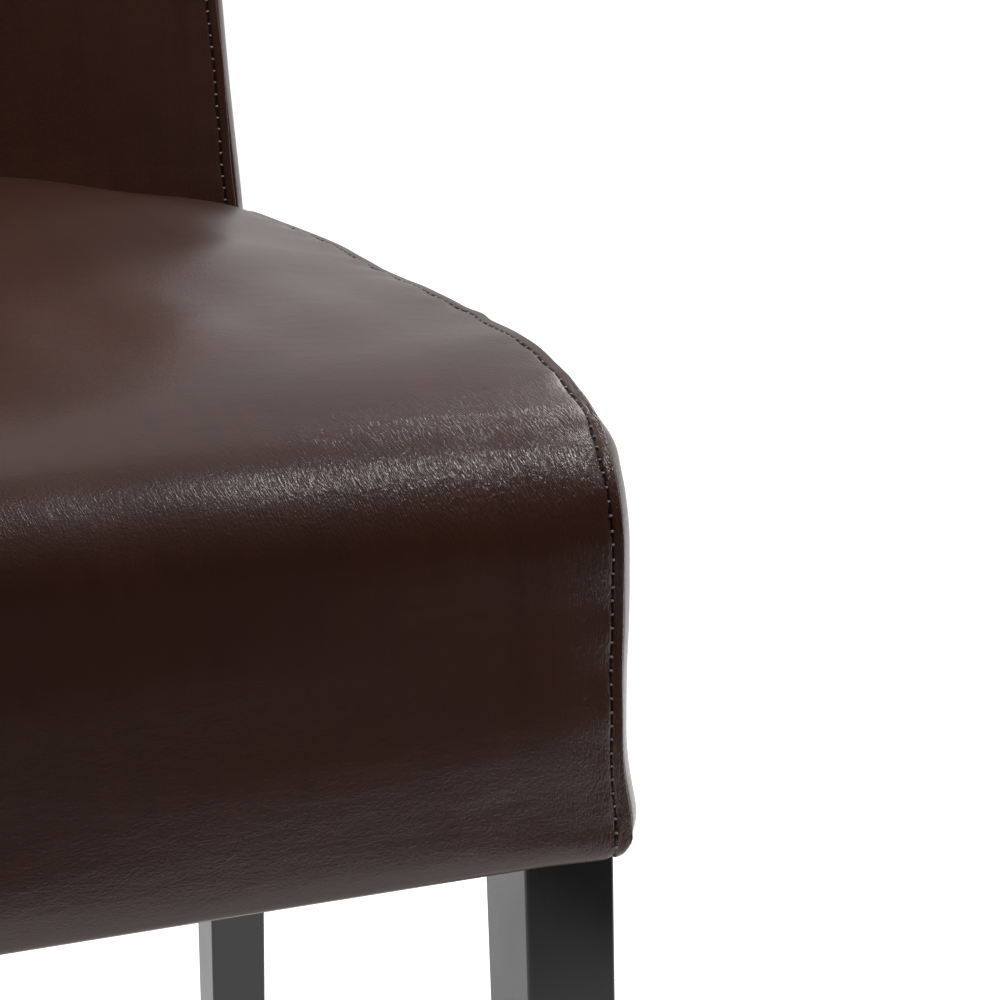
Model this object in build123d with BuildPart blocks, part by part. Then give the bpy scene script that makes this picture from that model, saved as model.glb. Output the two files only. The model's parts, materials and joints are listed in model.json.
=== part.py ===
from build123d import *
import math
import os

os.makedirs("parts", exist_ok=True)

# Leather dining chair. Millimetres, +Z up, the floor at Z = 0, the chair facing -Y.
# Side-view and plan sketches measure their depth from the front face of the seat.

# Leather and padding
LEATHER = 1.4
SOFT_GAP = 0.3
MARGIN = 6.0

# Seat box
SEAT_HALF_WIDTH = 222.0
HEM_HEIGHT = 256.0
HEM_SETBACK = 3.0
HEM_TURN = 24.0
SEAT_EDGE_HEIGHT = 464.0
SEAT_DEPTH = 444.0
SEAT_CROWN = 33.0
NOSE_START = 393.0
NOSE_RADIUS = 55.0
NOSE_CROWN = 5.0
SHOULDER_RADIUS = 250.0
SHOULDER_SLOPE = 22.0
EDGE_SLOPE = 1.5
MIDDLE_SLOPE = 12.0
REAR_NARROWING = 3.5
HEM_BOW = 1.5
TOP_BOW = 7.0

# Back
CHAIR_HEIGHT = 1046.0
BACK_STEP = 14.0
BACK_LEAN = 9.75
BACK_FOAM = 24.0
BACK_BELLY = 8.0
SIDE_BELLY = 1.0
BACK_TOP_RADIUS = 20.0
BACK_REAR_RADIUS = 8.0
TOP_FOAM = 10.0
REAR_WADDING = 4.0
GUSSET_TUCK = 30.0

# Seat frame
FRAME_SETBACK = 7.0
SIDE_COVERING = 5.5
RAIL_TOP = 388.0
RAIL_THICKNESS = 22.0
RAIL_INSET_FRONT = 1.5
RAIL_INSET_REAR = 4.0
BLOCK_SIZE = 82.0
BLOCK_HEIGHT = 60.0
BLOCK_RISE = 20.0

# Front legs
FRONT_LEG_WIDTH = 41.0
FRONT_LEG_DEPTH = 45.0
FRONT_FOOT_WIDTH = 38.5
FRONT_FOOT_DEPTH = 40.5
LEG_EDGE_RADIUS = 1.5

# Rear legs, each in one piece with the post of the back
POST_WIDTH = 32.0
POST_DEPTH = 29.0
POST_COVER = 2.5
REAR_SIDE_COVERING = 5.0
BEND_HEIGHT = 300.0
REAR_FOOT_RAKE = 24.0
REAR_FOOT_WIDTH = 29.5
REAR_FOOT_DEPTH = 24.0

# Back frame
CREST_HEIGHT = 60.0
LOWER_RAIL_HEIGHT = 45.0
LOWER_RAIL_RISE = 25.0

# Straps
STRAP_WIDTH = 50.0
STRAP_THICKNESS = 1.5
STRAP_WEAVE_GAP = 0.1
STRAP_HOLD = 15.0
SEAT_STRAPS = 4
BACK_STRAPS = 4

# Loose tenons of the frame joints
TENON_LENGTH = 30.0
TENON_THICKNESS = 9.0
TENON_HEIGHT = 60.0
BACK_TENON_HEIGHT = 28.0
TENON_CLEARANCE = 0.1

# Underside
DUST_COVER_THICKNESS = 0.8
DUST_COVER_INSET = 9.0
LEG_CLEARANCE = 1.0
GLIDE_HEIGHT = 5.0
GLIDE_RADIUS = 9.0
GLIDE_EDGE = 1.5

# Sizes that follow from the ones above
LEAN = math.radians(BACK_LEAN)
BACK_HALF_WIDTH = SEAT_HALF_WIDTH - BACK_STEP
REAR_HEM_HALF_WIDTH = SEAT_HALF_WIDTH - REAR_NARROWING
FRAME_HALF_WIDTH = SEAT_HALF_WIDTH - SIDE_COVERING
REAR_LEG_HALF_WIDTH = REAR_HEM_HALF_WIDTH - REAR_SIDE_COVERING
PADDING_INSET = LEATHER + SOFT_GAP
FRAME_INSET = PADDING_INSET + BACK_FOAM + STRAP_THICKNESS
REAR_COVERING = REAR_WADDING + SOFT_GAP + LEATHER
BACK_THICKNESS = FRAME_INSET + POST_DEPTH + REAR_COVERING
BACK_LENGTH = BACK_TOP_RADIUS + (
    CHAIR_HEIGHT - SEAT_EDGE_HEIGHT - BACK_TOP_RADIUS * (1 - math.sin(LEAN))
) / math.cos(LEAN)
CHAIR_DEPTH = (
    SEAT_DEPTH
    + (BACK_LENGTH - BACK_REAR_RADIUS) * math.sin(LEAN)
    + (BACK_THICKNESS - BACK_REAR_RADIUS) * math.cos(LEAN)
    + BACK_REAR_RADIUS
)
FRONT_Y = -CHAIR_DEPTH / 2
RAIL_BOTTOM = HEM_HEIGHT + LEATHER
RAIL_HEIGHT = RAIL_TOP - RAIL_BOTTOM
WEAVE_RISE = (STRAP_THICKNESS + STRAP_WEAVE_GAP) / 2
SEAT_FOAM_BOTTOM = RAIL_TOP + 2 * STRAP_THICKNESS + STRAP_WEAVE_GAP
POST_LENGTH = BACK_LENGTH - PADDING_INSET - TOP_FOAM
POST_HALF_WIDTH = BACK_HALF_WIDTH - PADDING_INSET - POST_COVER
EDGE_REAR_HALF_WIDTH = BACK_HALF_WIDTH + LEATHER + SOFT_GAP
BELLY_START = SEAT_CROWN + MARGIN
GUSSET_BOTTOM = SEAT_EDGE_HEIGHT - GUSSET_TUCK
FRONT_LEG_INNER = FRAME_HALF_WIDTH - FRONT_LEG_WIDTH
FRONT_LEG_REAR = FRAME_SETBACK + FRONT_LEG_DEPTH

# Drawing planes: side view, plan and front view, all measured from the front of the seat
SIDE = Plane(origin=(0, FRONT_Y, 0), x_dir=(0, 1, 0), z_dir=(1, 0, 0))
PLAN = Plane(origin=(0, FRONT_Y, 0), x_dir=(1, 0, 0), z_dir=(0, 0, 1))
FACE = Plane(origin=(0, FRONT_Y, 0), x_dir=(1, 0, 0), z_dir=(0, -1, 0))


def back_point(forward, up):
    """Depth and height of a point of the leaning back, measured from the rear edge of the seat."""
    depth = SEAT_DEPTH + up * math.sin(LEAN) - forward * math.cos(LEAN)
    height = SEAT_EDGE_HEIGHT + up * math.cos(LEAN) + forward * math.sin(LEAN)
    return (depth, height)


def back_line(forward, height):
    """Point at a given height on a line along the back, forward of its front face."""
    up = (height - SEAT_EDGE_HEIGHT - forward * math.sin(LEAN)) / math.cos(LEAN)
    return back_point(forward, up)


BEND_FRONT = back_line(-FRAME_INSET, BEND_HEIGHT)[0]
BEND_REAR = back_line(-FRAME_INSET - POST_DEPTH, BEND_HEIGHT)[0]
REAR_FOOT_FRONT = BEND_FRONT + REAR_FOOT_RAKE


def post_front(height):
    """Depth of the front face of a rear post."""
    if height >= BEND_HEIGHT:
        return back_line(-FRAME_INSET, height)[0]
    return BEND_FRONT + (BEND_HEIGHT - height) / BEND_HEIGHT * REAR_FOOT_RAKE


def post_rear(height):
    """Depth of the rear face of a rear post."""
    if height >= BEND_HEIGHT:
        return back_line(-FRAME_INSET - POST_DEPTH, height)[0]
    foot_rear = REAR_FOOT_FRONT + REAR_FOOT_DEPTH
    return BEND_REAR + (BEND_HEIGHT - height) / BEND_HEIGHT * (foot_rear - BEND_REAR)


def rear_surface(height, cover):
    """Depth of a layer that lies on the rear of the posts, cover outside their faces."""
    return post_rear(height) + cover / math.cos(LEAN)


def post_outer(height):
    """Distance of the outer face of a rear post from the middle, above the hem."""
    share = min((height - HEM_HEIGHT) / (RAIL_TOP - HEM_HEIGHT), 1)
    return REAR_LEG_HALF_WIDTH + share * (POST_HALF_WIDTH - REAR_LEG_HALF_WIDTH)


def side_rail_outer(depth):
    """Distance of the outer face of a side rail from the middle."""
    front = FRAME_HALF_WIDTH - RAIL_INSET_FRONT
    rear = REAR_LEG_HALF_WIDTH - RAIL_INSET_REAR
    return front + (rear - front) * (depth - FRONT_LEG_REAR) / (BEND_FRONT - FRONT_LEG_REAR)


def seat_outline(x, inset, bottom):
    """Side-view outline of the seat at a distance x from the middle, moved inward by inset."""
    share = 1 - (x / SEAT_HALF_WIDTH) ** 2
    front_slant = HEM_SETBACK * (NOSE_START - bottom) / (NOSE_START - HEM_HEIGHT)
    front_bottom = (front_slant + inset, bottom)
    nose_start = (inset, NOSE_START + NOSE_CROWN * share)
    top_slope = EDGE_SLOPE + (MIDDLE_SLOPE - EDGE_SLOPE) * share
    rear_depth = SEAT_DEPTH + NOSE_RADIUS
    rear_top = (rear_depth, SEAT_EDGE_HEIGHT + SEAT_CROWN * share - inset)
    Line(front_bottom, nose_start)
    nose = JernArc(nose_start, (0, 1), NOSE_RADIUS - inset, SHOULDER_SLOPE - 90)
    shoulder = JernArc(nose @ 1, nose % 1, SHOULDER_RADIUS - inset, top_slope - SHOULDER_SLOPE)
    TangentArc(shoulder @ 1, rear_top, tangent=shoulder % 1)
    Polyline(rear_top, (rear_depth, bottom), front_bottom)


def seat_form(inset, bottom, rear_gap):
    """Seat body with its crown, moved inward by inset and ended rear_gap in front of the back."""
    section_x = SEAT_HALF_WIDTH + MARGIN
    rear_depth, rear_height = back_point(rear_gap, 0)
    rear_plane = Plane(
        origin=(0, FRONT_Y + rear_depth, rear_height),
        x_dir=(1, 0, 0),
        z_dir=(0, -math.cos(LEAN), math.sin(LEAN)),
    )
    with BuildPart() as form:
        for x in (-section_x, 0, section_x):
            with BuildSketch(SIDE.offset(x)):
                with BuildLine():
                    seat_outline(x, inset, bottom)
                make_face()
        loft()
        split(bisect_by=rear_plane, keep=Keep.TOP)
    return form.part


def plan_outline(front, bow, rear, end_margin):
    """Plan of the seat sides: half width at the front, at the rear, and the bow between them."""
    rear_depth = rear_surface(HEM_HEIGHT, REAR_COVERING) + MARGIN + end_margin
    front_depth = -end_margin
    middle = ((front + rear) / 2 + bow, rear_depth / 2)
    right = ThreePointArc((front, front_depth), middle, (rear, rear_depth))
    left = ThreePointArc((-rear, rear_depth), (-middle[0], middle[1]), (-front, front_depth))
    Line(right @ 1, left @ 0)
    Line(left @ 1, right @ 0)


def seat_sides(inset, end_margin=MARGIN):
    """Body between the two sides of the seat, which draw in towards the back at seat level."""
    levels = (HEM_HEIGHT - MARGIN, SEAT_EDGE_HEIGHT + SEAT_CROWN)
    with BuildPart() as sides:
        for level in levels:
            share = (level - HEM_HEIGHT) / (SEAT_EDGE_HEIGHT - HEM_HEIGHT)
            rear = REAR_HEM_HALF_WIDTH + share * (EDGE_REAR_HALF_WIDTH - REAR_HEM_HALF_WIDTH)
            bow = HEM_BOW + share * (TOP_BOW - HEM_BOW)
            with BuildSketch(PLAN.offset(level)):
                with BuildLine():
                    plan_outline(SEAT_HALF_WIDTH - inset, bow, rear - inset, end_margin)
                make_face()
        loft(ruled=True)
    return sides.part


def back_outline(x, inset, bottom):
    """Side-view outline of the back at a distance x from the middle, moved inward by inset."""
    share = 1 - (x / BACK_HALF_WIDTH) ** 2
    belly = SIDE_BELLY + (BACK_BELLY - SIDE_BELLY) * share
    half_turn = math.sqrt(0.5)
    front_radius = BACK_TOP_RADIUS - inset
    rear_radius = BACK_REAR_RADIUS - inset
    front_centre = (-BACK_TOP_RADIUS, BACK_LENGTH - BACK_TOP_RADIUS)
    rear_centre = (BACK_REAR_RADIUS - BACK_THICKNESS, BACK_LENGTH - BACK_REAR_RADIUS)
    front_foot = back_line(-inset, bottom)
    front_start = back_point(-inset, BELLY_START)
    front_middle = back_point(belly - inset, (BELLY_START + front_centre[1]) / 2)
    front_end = back_point(-inset, front_centre[1])
    front_turn = back_point(
        front_centre[0] + front_radius * half_turn, front_centre[1] + front_radius * half_turn
    )
    top_front = back_point(front_centre[0], BACK_LENGTH - inset)
    top_rear = back_point(rear_centre[0], BACK_LENGTH - inset)
    rear_turn = back_point(
        rear_centre[0] - rear_radius * half_turn, rear_centre[1] + rear_radius * half_turn
    )
    rear_start = back_point(inset - BACK_THICKNESS, rear_centre[1])
    rear_foot = back_line(inset - BACK_THICKNESS, bottom)
    Line(front_foot, front_start)
    ThreePointArc(front_start, front_middle, front_end)
    ThreePointArc(front_end, front_turn, top_front)
    Line(top_front, top_rear)
    ThreePointArc(top_rear, rear_turn, rear_start)
    Polyline(rear_start, rear_foot, front_foot)


def back_form(inset, side_inset, bottom):
    """Back body with its belly, moved inward by inset and at the sides by side_inset."""
    section_x = BACK_HALF_WIDTH - side_inset
    with BuildPart() as form:
        for x in (-section_x, 0, section_x):
            with BuildSketch(SIDE.offset(x)):
                with BuildLine():
                    back_outline(x, inset, bottom)
                make_face()
        loft()
    return form.part


def side_view_block(points, half_width):
    """Solid with a straight-sided side view, the same on both sides of the middle."""
    with BuildPart() as block:
        with BuildSketch(SIDE):
            with BuildLine():
                Polyline(*points, close=True)
            make_face()
        extrude(amount=half_width, both=True)
    return block.part


def tenons(clearance):
    """Loose tenons of all frame joints, or with a clearance the pockets that they go into."""
    with BuildPart() as group:
        for place, height in joint_places:
            with Locations(place):
                Box(
                    height + 2 * clearance,
                    TENON_THICKNESS + 2 * clearance,
                    TENON_LENGTH + 2 * clearance,
                )
    return group.part


def keep(piece, label):
    """Name a finished piece and write it to its own file."""
    piece.part.label = label
    export_step(piece.part, f"parts/{label}.step")


# Frame joints: a plane in the middle of each joint, its Z across the joint and its X up the joint
joint_places = []
joint_height = (RAIL_BOTTOM + RAIL_TOP) / 2
rear_rail_depth = BEND_REAR - RAIL_THICKNESS / 2
crest_middle = back_point(-FRAME_INSET - POST_DEPTH / 2, POST_LENGTH - CREST_HEIGHT / 2)
lower_middle = back_point(-FRAME_INSET - POST_DEPTH / 2, LOWER_RAIL_RISE)
for side in (-1, 1):
    front_x = side * FRONT_LEG_INNER
    rear_x = side * (post_outer(joint_height) - POST_WIDTH)
    back_x = side * (POST_HALF_WIDTH - POST_WIDTH)
    side_front_x = side * (side_rail_outer(FRONT_LEG_REAR) - RAIL_THICKNESS / 2)
    side_rear_x = side * (side_rail_outer(post_front(joint_height)) - RAIL_THICKNESS / 2)
    for x, depth, across in (
        (front_x, FRAME_SETBACK + RAIL_THICKNESS / 2, (1, 0, 0)),
        (rear_x, rear_rail_depth, (1, 0, 0)),
        (side_front_x, FRONT_LEG_REAR, (0, 1, 0)),
        (side_rear_x, post_front(joint_height), (0, 1, 0)),
    ):
        place = Plane((x, FRONT_Y + depth, joint_height), x_dir=(0, 0, 1), z_dir=across)
        joint_places.append((place, TENON_HEIGHT))
    for depth, height in (crest_middle, lower_middle):
        up_the_back = (0, math.sin(LEAN), math.cos(LEAN))
        place = Plane((back_x, FRONT_Y + depth, height), x_dir=up_the_back, z_dir=(1, 0, 0))
        joint_places.append((place, BACK_TENON_HEIGHT))

tenon_pockets = tenons(TENON_CLEARANCE)

with BuildPart() as rail_tenons:
    add(tenons(0))
keep(rail_tenons, "rail_tenons")

# Foot glides
front_foot_x = FRAME_HALF_WIDTH - FRONT_FOOT_WIDTH / 2
front_foot_depth = FRAME_SETBACK + FRONT_FOOT_DEPTH / 2
rear_foot_x = REAR_LEG_HALF_WIDTH - REAR_FOOT_WIDTH / 2
rear_foot_depth = (post_front(GLIDE_HEIGHT) + post_rear(GLIDE_HEIGHT)) / 2
foot_points = []
for side in (-1, 1):
    foot_points.append((side * front_foot_x, FRONT_Y + front_foot_depth))
    foot_points.append((side * rear_foot_x, FRONT_Y + rear_foot_depth))

with BuildPart() as foot_glides:
    with Locations(*foot_points):
        Cylinder(GLIDE_RADIUS, GLIDE_HEIGHT, align=(Align.CENTER, Align.CENTER, Align.MIN))
    chamfer(foot_glides.edges().group_by(Axis.Z)[0], GLIDE_EDGE)
keep(foot_glides, "foot_glides")

# Front legs: square above the hem, their two inner faces tapered below it
with BuildPart() as front_leg_right:
    with BuildSketch(PLAN.offset(GLIDE_HEIGHT)):
        with Locations((FRAME_HALF_WIDTH, FRAME_SETBACK)):
            Rectangle(FRONT_FOOT_WIDTH, FRONT_FOOT_DEPTH, align=(Align.MAX, Align.MIN))
    with BuildSketch(PLAN.offset(HEM_HEIGHT)):
        with Locations((FRAME_HALF_WIDTH, FRAME_SETBACK)):
            Rectangle(FRONT_LEG_WIDTH, FRONT_LEG_DEPTH, align=(Align.MAX, Align.MIN))
    loft()
    long_edges = front_leg_right.edges().filter_by(lambda edge: edge.length > FRONT_LEG_DEPTH + MARGIN)
    fillet(long_edges, LEG_EDGE_RADIUS)
    with BuildSketch(PLAN.offset(HEM_HEIGHT)):
        with Locations((FRAME_HALF_WIDTH, FRAME_SETBACK)):
            Rectangle(FRONT_LEG_WIDTH, FRONT_LEG_DEPTH, align=(Align.MAX, Align.MIN))
    extrude(amount=RAIL_TOP - HEM_HEIGHT)
    add(tenon_pockets, mode=Mode.SUBTRACT)
keep(front_leg_right, "front_leg_right")

with BuildPart() as front_leg_left:
    mirror(front_leg_right.part, about=Plane.YZ)
keep(front_leg_left, "front_leg_left")

# Rear legs: one bent piece from the floor to the top of the back, square above the hem
post_side_view = [
    (post_front(HEM_HEIGHT), HEM_HEIGHT),
    (BEND_FRONT, BEND_HEIGHT),
    back_point(-FRAME_INSET, POST_LENGTH),
    back_point(-FRAME_INSET - POST_DEPTH, POST_LENGTH),
    (BEND_REAR, BEND_HEIGHT),
    (post_rear(HEM_HEIGHT), HEM_HEIGHT),
]
post_front_view = [
    (REAR_LEG_HALF_WIDTH, HEM_HEIGHT),
    (POST_HALF_WIDTH, RAIL_TOP),
    (POST_HALF_WIDTH, CHAIR_HEIGHT),
    (POST_HALF_WIDTH - POST_WIDTH, CHAIR_HEIGHT),
    (POST_HALF_WIDTH - POST_WIDTH, RAIL_TOP),
    (REAR_LEG_HALF_WIDTH - POST_WIDTH, HEM_HEIGHT),
]
with BuildPart() as rear_post_right:
    with BuildSketch(SIDE):
        with BuildLine():
            Polyline(*post_side_view, close=True)
        make_face()
    extrude(amount=SEAT_HALF_WIDTH)
    with BuildSketch(FACE):
        with BuildLine():
            Polyline(*post_front_view, close=True)
        make_face()
    extrude(amount=-CHAIR_DEPTH, mode=Mode.INTERSECT)

with BuildPart() as rear_leg_right:
    for level, width in ((GLIDE_HEIGHT, REAR_FOOT_WIDTH), (HEM_HEIGHT, POST_WIDTH)):
        with BuildSketch(PLAN.offset(level)):
            with Locations((REAR_LEG_HALF_WIDTH, post_front(level))):
                leg_depth = post_rear(level) - post_front(level)
                Rectangle(width, leg_depth, align=(Align.MAX, Align.MIN))
    loft()
    long_edges = rear_leg_right.edges().filter_by(lambda edge: edge.length > POST_WIDTH + MARGIN)
    fillet(long_edges, LEG_EDGE_RADIUS)
    add(rear_post_right.part)
    add(tenon_pockets, mode=Mode.SUBTRACT)
keep(rear_leg_right, "rear_leg_right")

with BuildPart() as rear_leg_left:
    mirror(rear_leg_right.part, about=Plane.YZ)
keep(rear_leg_left, "rear_leg_left")

# Seat rails
with BuildPart() as front_rail:
    with BuildSketch(PLAN.offset(RAIL_BOTTOM)):
        with Locations((0, FRAME_SETBACK)):
            Rectangle(2 * FRONT_LEG_INNER, RAIL_THICKNESS, align=(Align.CENTER, Align.MIN))
    extrude(amount=RAIL_HEIGHT)
    add(tenon_pockets, mode=Mode.SUBTRACT)
keep(front_rail, "front_rail")

with BuildPart() as rear_rail:
    with BuildSketch(FACE.offset(-(BEND_REAR - RAIL_THICKNESS))):
        with BuildLine():
            bottom_x = post_outer(RAIL_BOTTOM) - POST_WIDTH
            top_x = post_outer(RAIL_TOP) - POST_WIDTH
            Polyline(
                (-bottom_x, RAIL_BOTTOM),
                (bottom_x, RAIL_BOTTOM),
                (top_x, RAIL_TOP),
                (-top_x, RAIL_TOP),
                close=True,
            )
        make_face()
    extrude(amount=-RAIL_THICKNESS)
    add(tenon_pockets, mode=Mode.SUBTRACT)
keep(rear_rail, "rear_rail")

rail_end = post_front(RAIL_TOP)
with BuildPart() as side_rail_right:
    with BuildSketch(PLAN.offset(RAIL_BOTTOM)):
        with BuildLine():
            Polyline(
                (side_rail_outer(FRONT_LEG_REAR), FRONT_LEG_REAR),
                (side_rail_outer(rail_end), rail_end),
                (side_rail_outer(rail_end) - RAIL_THICKNESS, rail_end),
                (side_rail_outer(FRONT_LEG_REAR) - RAIL_THICKNESS, FRONT_LEG_REAR),
                close=True,
            )
        make_face()
    extrude(amount=RAIL_HEIGHT)
    add(
        side_view_block(
            [
                (post_front(HEM_HEIGHT), HEM_HEIGHT),
                (BEND_FRONT, BEND_HEIGHT),
                (post_front(RAIL_TOP), RAIL_TOP),
                (CHAIR_DEPTH, RAIL_TOP),
                (CHAIR_DEPTH, HEM_HEIGHT),
            ],
            SEAT_HALF_WIDTH,
        ),
        mode=Mode.SUBTRACT,
    )
    add(tenon_pockets, mode=Mode.SUBTRACT)
keep(side_rail_right, "side_rail_right")

with BuildPart() as side_rail_left:
    mirror(side_rail_right.part, about=Plane.YZ)
keep(side_rail_left, "side_rail_left")

# Corner blocks: three-cornered, cut round the legs
front_face_depth = FRAME_SETBACK + RAIL_THICKNESS
rear_face_depth = BEND_REAR - RAIL_THICKNESS
block_bottom = RAIL_BOTTOM + BLOCK_RISE
for place, face_depth, inward, leg in (
    ("front", front_face_depth, 1, front_leg_right),
    ("rear", rear_face_depth, -1, rear_leg_right),
):
    far_depth = face_depth + inward * BLOCK_SIZE
    corner_x = side_rail_outer(face_depth) - RAIL_THICKNESS
    far_x = side_rail_outer(far_depth) - RAIL_THICKNESS
    with BuildPart() as block_right:
        with BuildSketch(PLAN.offset(block_bottom)):
            with BuildLine():
                Polyline(
                    (corner_x - BLOCK_SIZE, face_depth),
                    (corner_x, face_depth),
                    (far_x, far_depth),
                    close=True,
                )
            make_face()
        extrude(amount=BLOCK_HEIGHT)
        add(leg.part, mode=Mode.SUBTRACT)
        add(tenon_pockets, mode=Mode.SUBTRACT)
    keep(block_right, f"corner_block_{place}_right")
    with BuildPart() as block_left:
        mirror(block_right.part, about=Plane.YZ)
    keep(block_left, f"corner_block_{place}_left")

# Back rails, between the posts and parallel to them
back_rail_inner = POST_HALF_WIDTH - POST_WIDTH
rail_front = -FRAME_INSET - (POST_DEPTH - RAIL_THICKNESS) / 2
rail_rear = rail_front - RAIL_THICKNESS
for label, bottom, top in (
    ("crest_rail", POST_LENGTH - CREST_HEIGHT, POST_LENGTH),
    ("lower_back_rail", LOWER_RAIL_RISE - LOWER_RAIL_HEIGHT / 2, LOWER_RAIL_RISE + LOWER_RAIL_HEIGHT / 2),
):
    corners = [
        back_point(rail_front, bottom),
        back_point(rail_front, top),
        back_point(rail_rear, top),
        back_point(rail_rear, bottom),
    ]
    with BuildPart() as back_rail:
        add(side_view_block(corners, back_rail_inner))
        add(tenon_pockets, mode=Mode.SUBTRACT)
    keep(back_rail, label)

# Seat webbing: two sets of straps, each passing over and under the other
strap_middle = RAIL_TOP + STRAP_THICKNESS / 2 + WEAVE_RISE
web_half_width = side_rail_outer(FRONT_LEG_REAR) - RAIL_THICKNESS + STRAP_HOLD
web_front = FRAME_SETBACK + RAIL_THICKNESS - STRAP_HOLD
web_rear = BEND_REAR - RAIL_THICKNESS + STRAP_HOLD
cross_pitch = (web_rear - web_front) / (SEAT_STRAPS + 1)
long_pitch = 2 * web_half_width / (SEAT_STRAPS + 1)


def strap_outline(start, end, pitch, first_side):
    """Closed outline of a strap that rises and falls by turns at each crossing."""
    path = [(start, strap_middle - WEAVE_RISE), (start + STRAP_HOLD, strap_middle - WEAVE_RISE)]
    for number in range(SEAT_STRAPS):
        crossing = start + (number + 1) * pitch
        level = strap_middle + first_side * (-1) ** number * WEAVE_RISE
        path.append((crossing - STRAP_WIDTH / 2, level))
        path.append((crossing + STRAP_WIDTH / 2, level))
    path.append((end - STRAP_HOLD, strap_middle - WEAVE_RISE))
    path.append((end, strap_middle - WEAVE_RISE))
    upper = [(run, level + STRAP_THICKNESS / 2) for run, level in path]
    lower = [(run, level - STRAP_THICKNESS / 2) for run, level in reversed(path)]
    Polyline(*upper, *lower, close=True)


with BuildPart() as seat_webbing_lengthwise:
    for number in range(SEAT_STRAPS):
        strap_x = -web_half_width + (number + 1) * long_pitch
        with BuildSketch(SIDE.offset(strap_x)):
            with BuildLine():
                strap_outline(web_front, web_rear, cross_pitch, (-1) ** number)
            make_face()
    extrude(amount=STRAP_WIDTH / 2, both=True)
keep(seat_webbing_lengthwise, "seat_webbing_lengthwise")

with BuildPart() as seat_webbing_crosswise:
    for number in range(SEAT_STRAPS):
        strap_depth = web_front + (number + 1) * cross_pitch
        with BuildSketch(FACE.offset(-strap_depth)):
            with BuildLine():
                strap_outline(-web_half_width, web_half_width, long_pitch, -((-1) ** number))
            make_face()
    extrude(amount=STRAP_WIDTH / 2, both=True)
keep(seat_webbing_crosswise, "seat_webbing_crosswise")

# Back webbing: straps across the fronts of the posts
strap_low = LOWER_RAIL_RISE + LOWER_RAIL_HEIGHT
strap_rise = (POST_LENGTH - CREST_HEIGHT - strap_low) / BACK_STRAPS
with BuildPart() as back_webbing:
    for number in range(BACK_STRAPS):
        strap_bottom = strap_low + (number + 0.5) * strap_rise - STRAP_WIDTH / 2
        corners = [
            back_point(-FRAME_INSET, strap_bottom),
            back_point(-FRAME_INSET, strap_bottom + STRAP_WIDTH),
            back_point(-FRAME_INSET + STRAP_THICKNESS, strap_bottom + STRAP_WIDTH),
            back_point(-FRAME_INSET + STRAP_THICKNESS, strap_bottom),
        ]
        add(side_view_block(corners, back_rail_inner + STRAP_HOLD))
keep(back_webbing, "back_webbing")

# Foam and wadding
with BuildPart() as seat_foam:
    add(seat_form(PADDING_INSET, SEAT_FOAM_BOTTOM, PADDING_INSET + SOFT_GAP))
    add(seat_sides(PADDING_INSET), mode=Mode.INTERSECT)
keep(seat_foam, "seat_foam")

foam_rear = -FRAME_INSET + STRAP_THICKNESS
behind_foam = [
    back_point(foam_rear, -SEAT_EDGE_HEIGHT),
    back_point(foam_rear, POST_LENGTH),
    back_point(-2 * BACK_THICKNESS, POST_LENGTH),
    back_point(-2 * BACK_THICKNESS, -SEAT_EDGE_HEIGHT),
]
behind_post = [
    back_point(-FRAME_INSET - POST_DEPTH, -SEAT_EDGE_HEIGHT),
    back_point(-FRAME_INSET - POST_DEPTH, POST_LENGTH),
    back_point(-2 * BACK_THICKNESS, POST_LENGTH),
    back_point(-2 * BACK_THICKNESS, -SEAT_EDGE_HEIGHT),
]
with BuildPart() as back_foam:
    add(back_form(PADDING_INSET, PADDING_INSET, SEAT_FOAM_BOTTOM))
    add(side_view_block(behind_foam, POST_HALF_WIDTH + SOFT_GAP), mode=Mode.SUBTRACT)
    add(side_view_block(behind_post, SEAT_HALF_WIDTH), mode=Mode.SUBTRACT)
keep(back_foam, "back_foam")

front_slant = HEM_SETBACK * (NOSE_START - RAIL_TOP) / (NOSE_START - HEM_HEIGHT)
with BuildPart() as front_wadding:
    corners = [
        (HEM_SETBACK + PADDING_INSET, RAIL_BOTTOM),
        (front_slant + PADDING_INSET, RAIL_TOP),
        (FRAME_SETBACK, RAIL_TOP),
        (FRAME_SETBACK, RAIL_BOTTOM),
    ]
    add(side_view_block(corners, FRAME_HALF_WIDTH))
keep(front_wadding, "front_wadding")

wadding_side_view = [
    (FRAME_SETBACK, RAIL_BOTTOM),
    (FRAME_SETBACK, RAIL_TOP),
    (post_rear(RAIL_TOP), RAIL_TOP),
    (BEND_REAR, BEND_HEIGHT),
    (post_rear(RAIL_BOTTOM), RAIL_BOTTOM),
]
with BuildPart() as side_wadding_right:
    add(seat_sides(PADDING_INSET))
    add(side_view_block(wadding_side_view, SEAT_HALF_WIDTH + MARGIN), mode=Mode.INTERSECT)
    with BuildSketch(PLAN.offset(RAIL_BOTTOM)):
        with BuildLine():
            Polyline(
                (side_rail_outer(0), 0),
                (side_rail_outer(CHAIR_DEPTH), CHAIR_DEPTH),
                (-SEAT_HALF_WIDTH - MARGIN, CHAIR_DEPTH),
                (-SEAT_HALF_WIDTH - MARGIN, 0),
                close=True,
            )
        make_face()
    extrude(amount=RAIL_HEIGHT, mode=Mode.SUBTRACT)
    add(front_leg_right.part, mode=Mode.SUBTRACT)
    add(rear_leg_right.part, mode=Mode.SUBTRACT)
keep(side_wadding_right, "side_wadding_right")

with BuildPart() as side_wadding_left:
    mirror(side_wadding_right.part, about=Plane.YZ)
keep(side_wadding_left, "side_wadding_left")


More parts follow.
